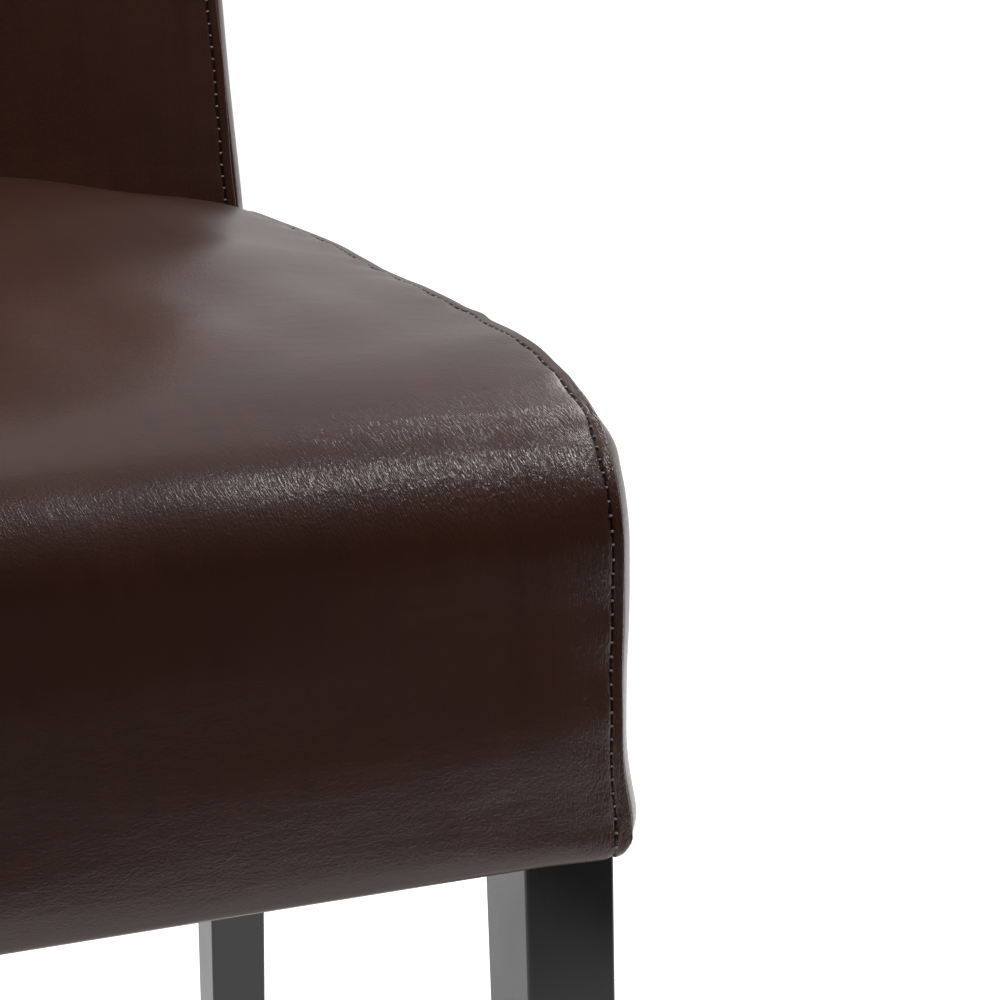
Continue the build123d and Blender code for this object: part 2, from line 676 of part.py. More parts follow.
def rear_sheet(inner, outer, bottom, side_inset, flare_top, up):
    """Sheet on the rear of the chair, wider below flare_top, up to a point along the back."""
    top_inner = back_point(-FRAME_INSET - POST_DEPTH - inner, up)
    top_outer = back_point(-FRAME_INSET - POST_DEPTH - outer, up)
    hem_x = REAR_HEM_HALF_WIDTH - side_inset
    back_x = BACK_HALF_WIDTH - side_inset
    layers = [
        (rear_surface(bottom, inner), bottom),
        (rear_surface(BEND_HEIGHT, inner), BEND_HEIGHT),
        top_inner,
        top_outer,
        (rear_surface(BEND_HEIGHT, outer), BEND_HEIGHT),
        (rear_surface(bottom, outer), bottom),
    ]
    with BuildPart() as sheet:
        add(side_view_block(layers, SEAT_HALF_WIDTH))
        with BuildSketch(FACE):
            with BuildLine():
                Polyline(
                    (hem_x, HEM_HEIGHT),
                    (back_x, flare_top),
                    (back_x, CHAIR_HEIGHT),
                    (-back_x, CHAIR_HEIGHT),
                    (-back_x, flare_top),
                    (-hem_x, HEM_HEIGHT),
                    close=True,
                )
            make_face()
        extrude(amount=-2 * CHAIR_DEPTH, mode=Mode.INTERSECT)
    return sheet.part


with BuildPart() as rear_wadding:
    add(rear_sheet(0, REAR_WADDING, RAIL_BOTTOM, PADDING_INSET, GUSSET_BOTTOM, POST_LENGTH))
keep(rear_wadding, "rear_wadding")

# Leather on the seat: one panel over the top and down the front, its hem turned under the rail
# and its rear edge tucked down between seat and back
with BuildPart() as seat_tuck:
    add(seat_form(LEATHER / 2, SEAT_FOAM_BOTTOM, SOFT_GAP))
    add(seat_form(-MARGIN, HEM_HEIGHT, SOFT_GAP + LEATHER), mode=Mode.SUBTRACT)
    add(seat_sides(PADDING_INSET), mode=Mode.INTERSECT)

with BuildPart() as seat_cover:
    add(seat_form(0, HEM_HEIGHT, SOFT_GAP))
    add(seat_form(LEATHER, HEM_HEIGHT - MARGIN, -MARGIN), mode=Mode.SUBTRACT)
    add(seat_sides(0), mode=Mode.INTERSECT)
    add(seat_tuck.part)
    with BuildSketch(PLAN.offset(HEM_HEIGHT)):
        with Locations((0, HEM_SETBACK + LEATHER / 2)):
            Rectangle(
                2 * (FRONT_LEG_INNER - LEG_CLEARANCE), HEM_TURN, align=(Align.CENTER, Align.MIN)
            )
    extrude(amount=LEATHER)
keep(seat_cover, "seat_cover")

# Leather on the sides of the seat, sewn under the edge of the seat panel
outer_cover = REAR_COVERING - LEATHER - SOFT_GAP
behind_seat = [
    (SEAT_DEPTH / 2, HEM_HEIGHT),
    (SEAT_DEPTH / 2, RAIL_TOP),
    back_line(MARGIN, RAIL_TOP),
    back_line(MARGIN, SEAT_EDGE_HEIGHT - PADDING_INSET),
    (rear_surface(SEAT_EDGE_HEIGHT, outer_cover), SEAT_EDGE_HEIGHT - PADDING_INSET),
    (rear_surface(BEND_HEIGHT, outer_cover), BEND_HEIGHT),
    (rear_surface(HEM_HEIGHT, outer_cover), HEM_HEIGHT),
]
with BuildPart() as side_region:
    add(seat_form(PADDING_INSET, HEM_HEIGHT, SOFT_GAP))
    add(side_view_block(behind_seat, SEAT_HALF_WIDTH + MARGIN))

turn_x = REAR_HEM_HALF_WIDTH - HEM_TURN
with BuildPart() as side_turn:
    with BuildSketch(PLAN.offset(HEM_HEIGHT)):
        with BuildLine():
            Polyline(
                (turn_x, FRONT_LEG_REAR + LEG_CLEARANCE),
                (SEAT_HALF_WIDTH + MARGIN, FRONT_LEG_REAR + LEG_CLEARANCE),
                (SEAT_HALF_WIDTH + MARGIN, post_front(HEM_HEIGHT) - LEG_CLEARANCE),
                (turn_x, post_front(HEM_HEIGHT) - LEG_CLEARANCE),
                close=True,
            )
        make_face()
    extrude(amount=LEATHER)
    add(seat_sides(LEATHER / 2), mode=Mode.INTERSECT)

with BuildPart() as seat_side_cover_right:
    add(seat_sides(0))
    add(seat_sides(LEATHER, 2 * MARGIN), mode=Mode.SUBTRACT)
    add(side_region.part, mode=Mode.INTERSECT)
    split(bisect_by=Plane.YZ, keep=Keep.TOP)
    add(side_turn.part)
keep(seat_side_cover_right, "seat_side_cover_right")

with BuildPart() as seat_side_cover_left:
    mirror(seat_side_cover_right.part, about=Plane.YZ)
keep(seat_side_cover_left, "seat_side_cover_left")

# Leather on the back: the front panel goes over the top, the gussets lie under its edges
behind_panel = [
    back_point(LEATHER - BACK_THICKNESS, -SEAT_EDGE_HEIGHT),
    back_point(LEATHER - BACK_THICKNESS, BACK_LENGTH - BACK_REAR_RADIUS),
    back_point(-2 * BACK_THICKNESS, BACK_LENGTH - BACK_REAR_RADIUS),
    back_point(-2 * BACK_THICKNESS, -SEAT_EDGE_HEIGHT),
]
with BuildPart() as inside_back_cover:
    add(back_form(0, 0, SEAT_FOAM_BOTTOM))
    add(back_form(LEATHER, -MARGIN, SEAT_FOAM_BOTTOM - MARGIN), mode=Mode.SUBTRACT)
    add(side_view_block(behind_panel, SEAT_HALF_WIDTH), mode=Mode.SUBTRACT)
keep(inside_back_cover, "inside_back_cover")

with BuildPart() as back_gusset_right:
    add(back_form(PADDING_INSET, 0, GUSSET_BOTTOM))
    add(back_form(-MARGIN, LEATHER, HEM_HEIGHT), mode=Mode.SUBTRACT)
    split(bisect_by=Plane.YZ, keep=Keep.TOP)
keep(back_gusset_right, "back_gusset_right")

with BuildPart() as back_gusset_left:
    mirror(back_gusset_right.part, about=Plane.YZ)
keep(back_gusset_left, "back_gusset_left")

rear_turn_depth = rear_surface(HEM_HEIGHT, REAR_COVERING - LEATHER / 2)
with BuildPart() as outside_back_cover:
    panel_top = BACK_LENGTH - BACK_REAR_RADIUS - SOFT_GAP
    panel_layers = (REAR_COVERING - LEATHER, REAR_COVERING)
    add(rear_sheet(*panel_layers, HEM_HEIGHT, 0, SEAT_EDGE_HEIGHT, panel_top))
    turn_half_width = REAR_LEG_HALF_WIDTH - POST_WIDTH - LEG_CLEARANCE
    with BuildSketch(PLAN.offset(HEM_HEIGHT)):
        with Locations((0, rear_turn_depth)):
            Rectangle(2 * turn_half_width, HEM_TURN, align=(Align.CENTER, Align.MAX))
    extrude(amount=LEATHER)
keep(outside_back_cover, "outside_back_cover")

# Dust cover under the seat, cut out round the legs
dust_front = HEM_SETBACK + DUST_COVER_INSET
dust_rear = rear_surface(HEM_HEIGHT, REAR_COVERING) - DUST_COVER_INSET
front_notch = FRONT_LEG_INNER - LEG_CLEARANCE
rear_notch = REAR_LEG_HALF_WIDTH - POST_WIDTH - LEG_CLEARANCE
front_notch_depth = FRONT_LEG_REAR + LEG_CLEARANCE
rear_notch_depth = post_front(HEM_HEIGHT) - LEG_CLEARANCE
front_x = SEAT_HALF_WIDTH - DUST_COVER_INSET
rear_x = REAR_HEM_HALF_WIDTH - DUST_COVER_INSET
with BuildPart() as dust_cover:
    with BuildSketch(PLAN.offset(HEM_HEIGHT - DUST_COVER_THICKNESS)):
        with BuildLine():
            Polyline(
                (0, dust_front),
                (front_notch, dust_front),
                (front_notch, front_notch_depth),
                (front_x, front_notch_depth),
                (rear_x, rear_notch_depth),
                (rear_notch, rear_notch_depth),
                (rear_notch, dust_rear),
                (0, dust_rear),
                close=True,
            )
        make_face()
        mirror(about=Plane.YZ)
    extrude(amount=DUST_COVER_THICKNESS)
keep(dust_cover, "dust_cover")
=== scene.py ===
import bpy
import json
import math
import numpy as np
from mathutils import Matrix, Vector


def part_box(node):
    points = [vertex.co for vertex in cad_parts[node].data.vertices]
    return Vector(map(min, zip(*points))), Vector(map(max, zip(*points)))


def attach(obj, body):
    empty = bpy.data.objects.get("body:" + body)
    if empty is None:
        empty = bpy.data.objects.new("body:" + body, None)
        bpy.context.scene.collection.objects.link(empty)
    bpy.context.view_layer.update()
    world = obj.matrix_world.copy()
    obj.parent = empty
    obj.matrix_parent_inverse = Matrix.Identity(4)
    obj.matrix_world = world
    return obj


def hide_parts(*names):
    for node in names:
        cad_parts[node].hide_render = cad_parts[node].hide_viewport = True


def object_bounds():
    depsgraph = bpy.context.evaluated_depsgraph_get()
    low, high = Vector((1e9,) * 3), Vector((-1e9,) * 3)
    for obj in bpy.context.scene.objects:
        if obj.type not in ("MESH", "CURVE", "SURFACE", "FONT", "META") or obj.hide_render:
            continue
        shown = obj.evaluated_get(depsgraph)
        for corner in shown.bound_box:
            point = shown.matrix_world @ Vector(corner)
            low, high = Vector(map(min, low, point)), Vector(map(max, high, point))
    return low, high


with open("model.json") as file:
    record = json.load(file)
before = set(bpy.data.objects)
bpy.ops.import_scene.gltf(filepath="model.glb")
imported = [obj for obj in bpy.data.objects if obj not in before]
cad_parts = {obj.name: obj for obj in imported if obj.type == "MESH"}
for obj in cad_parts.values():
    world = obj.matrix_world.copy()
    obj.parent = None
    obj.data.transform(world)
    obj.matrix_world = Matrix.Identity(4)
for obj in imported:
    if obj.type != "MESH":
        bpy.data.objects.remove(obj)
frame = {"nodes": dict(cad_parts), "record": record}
cad_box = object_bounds()

# Leather dining chair. Sizes are in millimetres and depths are measured from the front face of the seat,
# as in its construction; meshes are made in metres in the frame of the model.
MM = 0.001
SIDES = ((-1, "left"), (1, "right"))

# Leather, and the seams where a panel is folded under and stitched down on its neighbour
LEATHER = 1.4
PARED_SHARE = 0.15
FRONT_FOLD_INSET = 2
TOP_FOLD_INSET = 0.5
BACK_FOLD_INSET = 1.6
FOLD_RANGE = (415, 462)
FOLD_RADIUS = 0.9
FOLD_TURNS = np.radians([150, 120, 90, 60, 30])
STITCH_INSET = 5.4
BESIDE_STITCH = (-0.5, -0.25, 0, 0.25, 0.5, 0.9, 1.5, 2.4, 3.6, 5.2, 7.4, 10.2)
SEAM_SINK = 1
SEAM_REACH = 11
DIMPLE_DEPTH = 0.55
DIMPLE_REACH = 2.2
GROOVE_DEPTH = 1.1
GROOVE_WIDTH = 0.5

# Stitches: along each one, and across each knot
STITCH_PITCH = 6
STITCH_START = 1
STITCH_JITTER = 0.25
THREAD_RADIUS = 0.42
THREAD_ARCH = ((0.06, -0.5), (0.2, 0.05), (0.5, 0.2), (0.8, 0.05), (0.94, -0.5))
KNOT_RADIUS = 0.55
KNOT_STEPS = (-0.8, -0.35, 0, 0.35, 0.8)
KNOT_RISE = 0.85
KNOT_ROUNDING = 0.9
KNOT_LEAN = 0.3
BESIDE_SEAM = 3.6
THREAD_SIDES = 6
THREAD_END = 0.35

# Side panels of the seat and the back, out from under the fold of their neighbour
UNDER_FOLD = ((2.6, 0.5), (1.7, 0.5), (0.8, 0.3))
SIDE_DROP = 2.6
BEVEL_LENGTH = 12
BEVEL_START = 48
BEVEL_END = 64
BEVEL_STEPS = 5
SIDE_CORNER = 14
SIDE_BULGE = 6.1
BULGE_LOSS = 0.2
BULGE_RANGE = (425, 462)
BULGE_REAR = 45
NOSE_BULGE = 1.1
NOSE_BULGE_RISE = (300, 380)
NOSE_BULGE_FALL = (450, 464)
NOSE_BULGE_SPOT = (438, 16)
BACK_BULGE = 5.3
GUSSET_SCALE = 0.85
GUSSET_FLARE = 1.2
GUSSET_FLARE_HEIGHT = 80
GUSSET_TUCK = (-14, 2)
GUSSET_BELLY = 1.4
GUSSET_WAVES = 0.5
BEHIND_DROP = 8
BEHIND_RUN = 24
REAR_GAP = 0.8
REAR_ROUND = 3
SIDE_WAVES = 0.45
SIDE_WAVE_RANGE = (0, 0.2)
SIDE_KEEPS = 0.45
SIDE_FADE = 80
FRONT_EDGE_TURNS = ((1.8, 2.8, 1.6), (0.6, 0.8, 1.1))
LEAST_TURN = 0.3

# Hem, rolled under along the bottom of the seat box
HEM_HEIGHT = 256
HEM_ROLL = 3.5
HEM_TURN = 20
HEM_TURN_AT_LEG = 0.3
SIDE_TURN_AT_LEG = 0.4
HEM_TURNS = np.radians([90, 60, 30])
HEM_FLARE = 2.9
HEM_FLARE_HEIGHT = 54
HEM_CORNER = 8.4
HEM_CORNER_REACH = 0.97
HEM_NOTCH = 2.4
HEM_NOTCH_WIDTH = 1.8
HEM_NOTCH_EDGE = -0.3
HEM_NOTCH_OUTSIDE = 0.3
HEM_SAG = 1.3
HEM_SAG_RANGE = (180, 216)
HEM_FADE = 16
HEM_DRAW = 1.6
HEM_DRAW_HEIGHT = 14
HEM_PUFF = 1
HEM_PUFF_HEIGHT = (HEM_HEIGHT + 12, 12)
HEM_PUFF_DEPTH = (12, 30)
SIDE_LIFT = 2.2
SIDE_LIFT_HEIGHT = 18
SIDE_LIFT_RANGE = (8, 48)

# Settling of the padded panels
SETTLE_SPACING = 9
SETTLE_MASS = 0.3
SETTLE_PRESSURE = 4
SETTLE_SLACK = 0.004
SETTLE_FRAMES = 20
SETTLE_CAP = 2.4
SETTLE_EVENING = 10

# Seat box
SEAT_HALF_WIDTH = 222
HEM_SETBACK = 4.2
HEM_CURVE = 12
SEAT_EDGE_HEIGHT = 464
SEAT_DEPTH = 444
SEAT_CROWN = 33
NOSE_START = 393
NOSE_RADIUS = 55
NOSE_CROWN = 5
SHOULDER_RADIUS = 250
SHOULDER_SLOPE = math.radians(22.0)
EDGE_SLOPE = math.radians(1.5)
MIDDLE_SLOPE = math.radians(12.0)
REAR_HEM_HALF_WIDTH = 218.5
EDGE_REAR_HALF_WIDTH = 209.7
HEM_BOW = 1.5
TOP_BOW = 7
TUCK_DROPS = (4, 10, 26)
TUCK_SINK = 4
TUCK_REACH = 4.5

# Unevenness of the sewn edge of the seat: size, place and width of each dent, by depth on the top and by
# height on the front and the nose
EDGE_TURN = (430, 455)
TOP_DENTS = ((-3, 205, 48), (2.4, 160, 9), (1.2, 350, 50))
FRONT_DENTS = ((-1.6, 316, 26), (1.2, 268, 13))
NOSE_DENTS = ((1.9, 446, 9),)
EDGE_WAVES = 0.25

# Unevenness of the seat leather; ranges, and the middle and width of spots, are distances from the hem
RISE_RANGE = (0, 6)
RIPPLE = 0.35
NOSE_RIPPLE = 0.4
NOSE_SPOT = (190, 60)
RIPPLE_REACH = 9
CORNER_PULL = 1.7
CORNER_SPOT = (205, 28)
CORNER_REST = 0.25
CORNER_REST_RANGE = (180, 240)
CORNER_REACH = 4.5
PUCKERS = ((0.9, 208, 9), (-0.5, 187, 6), (0.5, 230, 9))
PUCKER_REACH = 10
TOP_WAVES = 0.9
TOP_WAVE_RANGE = (240, 330)
FRONT_WAVES = 0.45
FRONT_WAVE_RANGE = (140, 195)
CORNER_WAVES = 0.5
CORNER_WAVE_RANGE = (210, 300)
CORNER_WAVE_WIDTH = (190, 34)
HEM_CALM_RANGE = (0, 14)
HEM_CALM = 0.85
SIDES_APART = 500

# Fine creases of the leather, as shares of the deepest ones
PLAIN_CREASES = 0.2
SIDE_CREASES = 0.25
REST_CREASES = 0.18
NOSE_CREASE_SPOT = (178, 42)
SEAM_CREASES = 0.5
BACK_SEAM_CREASES = 0.4
SEAM_CREASE_REACH = 14
MIDDLE_CREASES = 0.2
CREASE_RANGE = (20, 150)

# Back
CHAIR_HEIGHT = 1046
BACK_HALF_WIDTH = 208
LEAN = math.radians(9.75)
BACK_THICKNESS = 61.9
BACK_BELLY = 8
SIDE_BELLY = 1
BACK_TOP_RADIUS = 20
BACK_REAR_RADIUS = 8
BELLY_START = 39
BACK_FOOT = -30
BACK_RIPPLE = 0.3
BACK_RIPPLE_REACH = 10
BACK_EDGE_WAVES = 0.5
BACK_EDGE_REACH = 30
REAR_WAVES = 0.7
REAR_STAND_OFF = 1
REAR_END = (0, 2, 8)

# Legs
FRONT_LEG_INNER = 175.5
FRONT_LEG_REAR = 52
REAR_LEG_INNER = 181.5
FRAME_INSET = 27.2
REAR_LEG_FRONT = 28
BEND_HEIGHT = 300
REAR_HEM_RAKE = 4
LEG_CLEARANCE = 1
LEG_MARGIN = 2

# Dust cover
DUST_THICKNESS = 0.8
DUST_SAG = 2.5
DUST_UNEVEN = 0.25
DUST_RIPPLE = 0.4
DUST_OUTER_COLUMN = 196

FRONT_Y = cad_box[0][1] / MM
BACK_LENGTH = BACK_TOP_RADIUS + (
    CHAIR_HEIGHT - SEAT_EDGE_HEIGHT - BACK_TOP_RADIUS * (1 - math.sin(LEAN))
) / math.cos(LEAN)


def unit(vectors):
    """The same directions with a length of 1."""
    return vectors / np.maximum(np.linalg.norm(vectors, axis=-1, keepdims=True), 1e-9)


def waves(seed, shortest, longest, *coordinates, count=14):
    """Irregular waves, mostly between -1 and 1, with wavelengths in a range, the same on every run."""
    draw = np.random.RandomState(seed)
    total = 0.0
    for _ in range(count):
        length = draw.uniform(shortest, longest)
        heading = unit(draw.normal(size=len(coordinates))) * 2 * math.pi / length
        phase = draw.uniform(0, 2 * math.pi)
        along = sum(part * step for part, step in zip(coordinates, heading))
        total += np.sin(along + phase)
    return total / math.sqrt(count)


def bell(value, middle, width):
    """Bell-shaped weight, 1 at the middle."""
    return np.exp(-(((value - middle) / width) ** 2))


def dents(value, sizes):
    """Sum of bell-shaped dents, each with its size, middle and width."""
    return sum(size * bell(value, middle, width) for size, middle, width in sizes)


def ramp(value, low, high):
    """Rises smoothly from 0 at low to 1 at high."""
    share = np.clip((value - low) / (high - low), 0, 1)
    return share * share * (3 - 2 * share)


def near_hem(height, reach):
    """Weight that is 1 at the hem and fades above it."""
    return 1 - ramp(height, HEM_HEIGHT, HEM_HEIGHT + reach)


def from_seam(inward, reach):
    """Weight that is 1 up to the stitches and fades beyond them."""
    return np.exp(-np.maximum(inward - STITCH_INSET, 0) / reach)


def back_point(forward, up):
    """Depth and height of a point of the back, given from the rear edge of the seat."""
    depth = SEAT_DEPTH + up * math.sin(LEAN) - forward * math.cos(LEAN)
    height = SEAT_EDGE_HEIGHT + up * math.cos(LEAN) + forward * math.sin(LEAN)
    return depth, height


def back_depth(height, forward=0.0):
    """Depth at a given height of a line along the back."""
    up = (height - SEAT_EDGE_HEIGHT - forward * math.sin(LEAN)) / math.cos(LEAN)
    return SEAT_DEPTH + up * math.sin(LEAN) - forward * math.cos(LEAN)


def rear_depth(height):
    """Depth of the rear of the chair, which turns back below the bend of the posts."""
    bend = back_depth(BEND_HEIGHT, -BACK_THICKNESS)
    below = (BEND_HEIGHT - height) / (BEND_HEIGHT - HEM_HEIGHT) * REAR_HEM_RAKE
    return np.where(height < BEND_HEIGHT, bend + below, back_depth(height, -BACK_THICKNESS))


def half_width(depth, height):
    """Distance of the side of the seat from the middle of the chair."""
    level = (height - HEM_HEIGHT) / (SEAT_EDGE_HEIGHT - HEM_HEIGHT)
    rear = REAR_HEM_HALF_WIDTH + level * (EDGE_REAR_HALF_WIDTH - REAR_HEM_HALF_WIDTH)
    bow = HEM_BOW + level * (TOP_BOW - HEM_BOW)
    share = depth / rear_depth(np.asarray(HEM_HEIGHT))
    return SEAT_HALF_WIDTH + (rear - SEAT_HALF_WIDTH) * share + 4 * bow * share * (1 - share)


def seat_point(share, place):
    """Depth and height on the seat: place runs over the front, nose, shoulder and top, one unit each."""
    nose_height = NOSE_START + NOSE_CROWN * share
    piece = min(int(place), 3)
    part = place - piece
    if piece == 0:
        draw_in = HEM_SETBACK * (1 - part) ** HEM_CURVE
        return draw_in + 0 * share, HEM_HEIGHT + (nose_height - HEM_HEIGHT) * part
    nose_turn = math.pi / 2 - SHOULDER_SLOPE
    if piece == 1:
        turn = nose_turn * part
        return NOSE_RADIUS * (1 - math.cos(turn)) + 0 * share, nose_height + NOSE_RADIUS * math.sin(turn)
    depth = NOSE_RADIUS * (1 - math.cos(nose_turn))
    height = nose_height + NOSE_RADIUS * math.sin(nose_turn)
    end_slope = EDGE_SLOPE + (MIDDLE_SLOPE - EDGE_SLOPE) * share
    slope = SHOULDER_SLOPE + (end_slope - SHOULDER_SLOPE) * (part if piece == 2 else 1)
    depth = depth + SHOULDER_RADIUS * (math.sin(SHOULDER_SLOPE) - np.sin(slope))
    height = height + SHOULDER_RADIUS * (np.cos(slope) - math.cos(SHOULDER_SLOPE))
    if piece == 2:
        return depth, height
    run = SEAT_DEPTH + NOSE_RADIUS - depth
    rise = SEAT_EDGE_HEIGHT + SEAT_CROWN * share - height
    half_turn = np.arctan2(rise, run) - slope
    chord = np.hypot(run, rise)

    def on_arc(reach):
        length = chord * np.sin(half_turn * reach) / np.sin(half_turn)
        angle = slope + half_turn * reach
        return depth + length * np.cos(angle), height + length * np.sin(angle)

    low = np.zeros_like(depth)
    high = np.ones_like(depth)
    for _ in range(30):
        middle = (low + high) / 2
        arc_depth, arc_height = on_arc(middle)
        inside = arc_depth < back_depth(arc_height)
        low = np.where(inside, middle, low)
        high = np.where(inside, high, middle)
    return on_arc(low * part)


# Grids and meshes

def normals_of(points):
    """Unit normals of a grid of points."""
    return unit(np.cross(np.gradient(points, axis=1), np.gradient(points, axis=0)))


def sewn_normals(points):
    """Unit normals of a panel, where the turned-under edges take the normal of the panel beside them."""
    normal = normals_of(points)
    turned = len(FOLD_TURNS)
    normal[:, :turned] = normal[:, turned : turned + 1]
    normal[:, -turned:] = normal[:, -turned - 1 : -turned]
    return normal


def lengths_along(points, axis):
    """Distance along the rows or columns of a grid."""
    steps = np.linalg.norm(np.diff(points, axis=axis), axis=2)
    start = np.zeros_like(np.take(steps, [0], axis=axis))
    return np.concatenate([start, np.cumsum(steps, axis=axis)], axis=axis)


def path_length(*coordinates):
    """Distance along a line."""
    steps = np.sqrt(sum(np.diff(part) ** 2 for part in coordinates))
    return np.concatenate([[0], np.cumsum(steps)])


def across_line(first, second):
    """Unit directions across a line in a plane."""
    first_step = np.gradient(first)
    second_step = np.gradient(second)
    size = np.hypot(first_step, second_step)
    return -second_step / size, first_step / size


def new_object(name, data):
    """New object in the scene."""
    thing = bpy.data.objects.new(name, data)
    bpy.context.scene.collection.objects.link(thing)
    return thing


def mesh_object(name, vertices, faces, material):
    """New smooth mesh in the scene, with its vertices given in millimetres."""
    mesh = bpy.data.meshes.new(name)
    mesh.from_pydata((np.asarray(vertices) * MM).tolist(), [], faces)
    mesh.polygons.foreach_set("use_smooth", [True] * len(mesh.polygons))
    mesh.materials.append(material)
    mesh.validate()
    mesh.update()
    return new_object(name, mesh)


def vertex_values(mesh, kind):
    """Places or normals of the vertices of a mesh, in one row."""
    values = np.zeros(len(mesh.vertices) * 3)
    mesh.vertices.foreach_get(kind, values)
    return values


def grid_faces(rows, columns, flip):
    """Corner numbers of the faces of a grid."""
    faces = []
    for row in range(rows - 1):
        for column in range(columns - 1):
            first = row * columns + column
            face = (first, first + 1, first + columns + 1, first + columns)
            faces.append(face[::-1] if flip else face)
    return faces


def grid_object(name, points, faces, material):
    """New mesh from some faces of a grid, and the numbers of the grid points that it uses."""
    used, numbers = np.unique(faces, return_inverse=True)
    corners = numbers.reshape(-1, 4).tolist()
    return mesh_object(name, points.reshape(-1, 3)[used], corners, material), used


def add_thickness(piece, size, offset):
    """Thickness of a sheet, on one side of its mesh."""
    thickness = piece.modifiers.new("thickness", "SOLIDIFY")
    thickness.thickness = size * MM
    thickness.offset = offset
    return thickness


def leather_panel(name, points, outward, creases, nodes, blank=None, first_row=0, pared=0):
    """Sewn leather panel from a grid of points. The grain is measured from the first row, blank marks faces
    that are left out, and pared is the number of columns along each side that are thinned to fold."""
    points = points + np.array([0, FRONT_Y, 0])
    rows, columns = points.shape[:2]
    flip = np.mean(normals_of(points) @ np.asarray(outward, float)) < 0
    faces = np.array(grid_faces(rows, columns, flip))
    if blank is not None:
        faces = faces[~blank.reshape(-1)]
    piece, used = grid_object(name, points, faces, leather)
    mesh = piece.data
    along = lengths_along(points, 0)
    along = (along - along[first_row]).reshape(-1)[used]
    across = lengths_along(points, 1).reshape(-1)[used]
    layer = mesh.uv_layers.new(name="hide")
    corners = np.zeros(len(mesh.loops), dtype=int)
    mesh.loops.foreach_get("vertex_index", corners)
    flat = np.stack([across[corners], along[corners]], axis=1) * MM
    layer.data.foreach_set("uv", flat.reshape(-1))
    crease_layer = mesh.attributes.new("creases", "FLOAT", "POINT")
    crease_layer.data.foreach_set("value", np.broadcast_to(creases, (rows, columns)).reshape(-1)[used])
    full = (used % columns >= pared) & (used % columns < columns - pared)
    body = piece.vertex_groups.new(name="body")
    body.add(np.flatnonzero(full).tolist(), 1.0, "REPLACE")
    thickness = add_thickness(piece, LEATHER, -1)
    thickness.thickness_clamp = 1.0
    thickness.vertex_group = "body"
    thickness.thickness_vertex_group = PARED_SHARE
    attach(piece, "root")
    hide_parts(*nodes)
    return piece


# Materials

def new_material(name, roughness, **settings):
    """Material with a main shader; settings are the constant values of its sockets."""
    material = bpy.data.materials.new(name)
    material.use_nodes = True
    shader = material.node_tree.nodes["Principled BSDF"]
    shader.inputs["Roughness"].default_value = roughness
    for socket, value in settings.items():
        shader.inputs[socket.replace("_", " ")].default_value = value
    return material, material.node_tree, shader


def add(tree, kind, links=None, **values):
    """New shader node: values set its settings and sockets, links connect its sockets."""
    node = tree.nodes.new("ShaderNode" + kind)
    for key, value in values.items():
        if hasattr(node, key):
            setattr(node, key, value)
        else:
            node.inputs[key.replace("_", " ")].default_value = value
    for key, source in (links or {}).items():
        tree.links.new(source, node.inputs[key])
    return node


def noise(tree, source, scale, **values):
    """Value of a noise pattern."""
    return add(tree, "TexNoise", {"Vector": source}, Scale=scale, **values).outputs[0]


def stretched_noise(tree, source, scales, **values):
    """Value of a noise pattern with its own scale along each axis."""
    mapping = add(tree, "Mapping", {"Vector": source})
    mapping.inputs["Scale"].default_value = scales
    return noise(tree, mapping.outputs[0], 1.0, **values)


def math_node(tree, operation, first, second):
    """Arithmetic on two values, each a number or a socket."""
    node = add(tree, "Math", operation=operation)
    for number, value in enumerate((first, second)):
        if isinstance(value, (int, float)):
            node.inputs[number].default_value = value
        else:
            tree.links.new(value, node.inputs[number])
    return node.outputs[0]


def mix_colours(tree, share, first, second):
    """Colour between two others, each a colour or a socket."""
    node = add(tree, "Mix", data_type="RGBA")
    tree.links.new(share, node.inputs[0])
    for number, value in ((6, first), (7, second)):
        if isinstance(value, tuple):
            node.inputs[number].default_value = (*value, 1)
        else:
            tree.links.new(value, node.inputs[number])
    return node.outputs[2]


def spread(tree, value, low, high, to_low, to_high):
    """Value carried over from one range to another."""
    node = add(tree, "MapRange", From_Min=low, From_Max=high, To_Min=to_low, To_Max=to_high)
    tree.links.new(value, node.inputs["Value"])
    return node.outputs[0]


def emboss(tree, shader, height, strength, depth, sockets=("Normal",)):
    """Fine relief of a surface from a pattern."""
    bump = add(tree, "Bump", {"Height": height}, Strength=strength, Distance=depth)
    for socket in sockets:
        tree.links.new(bump.outputs[0], shader.inputs[socket])


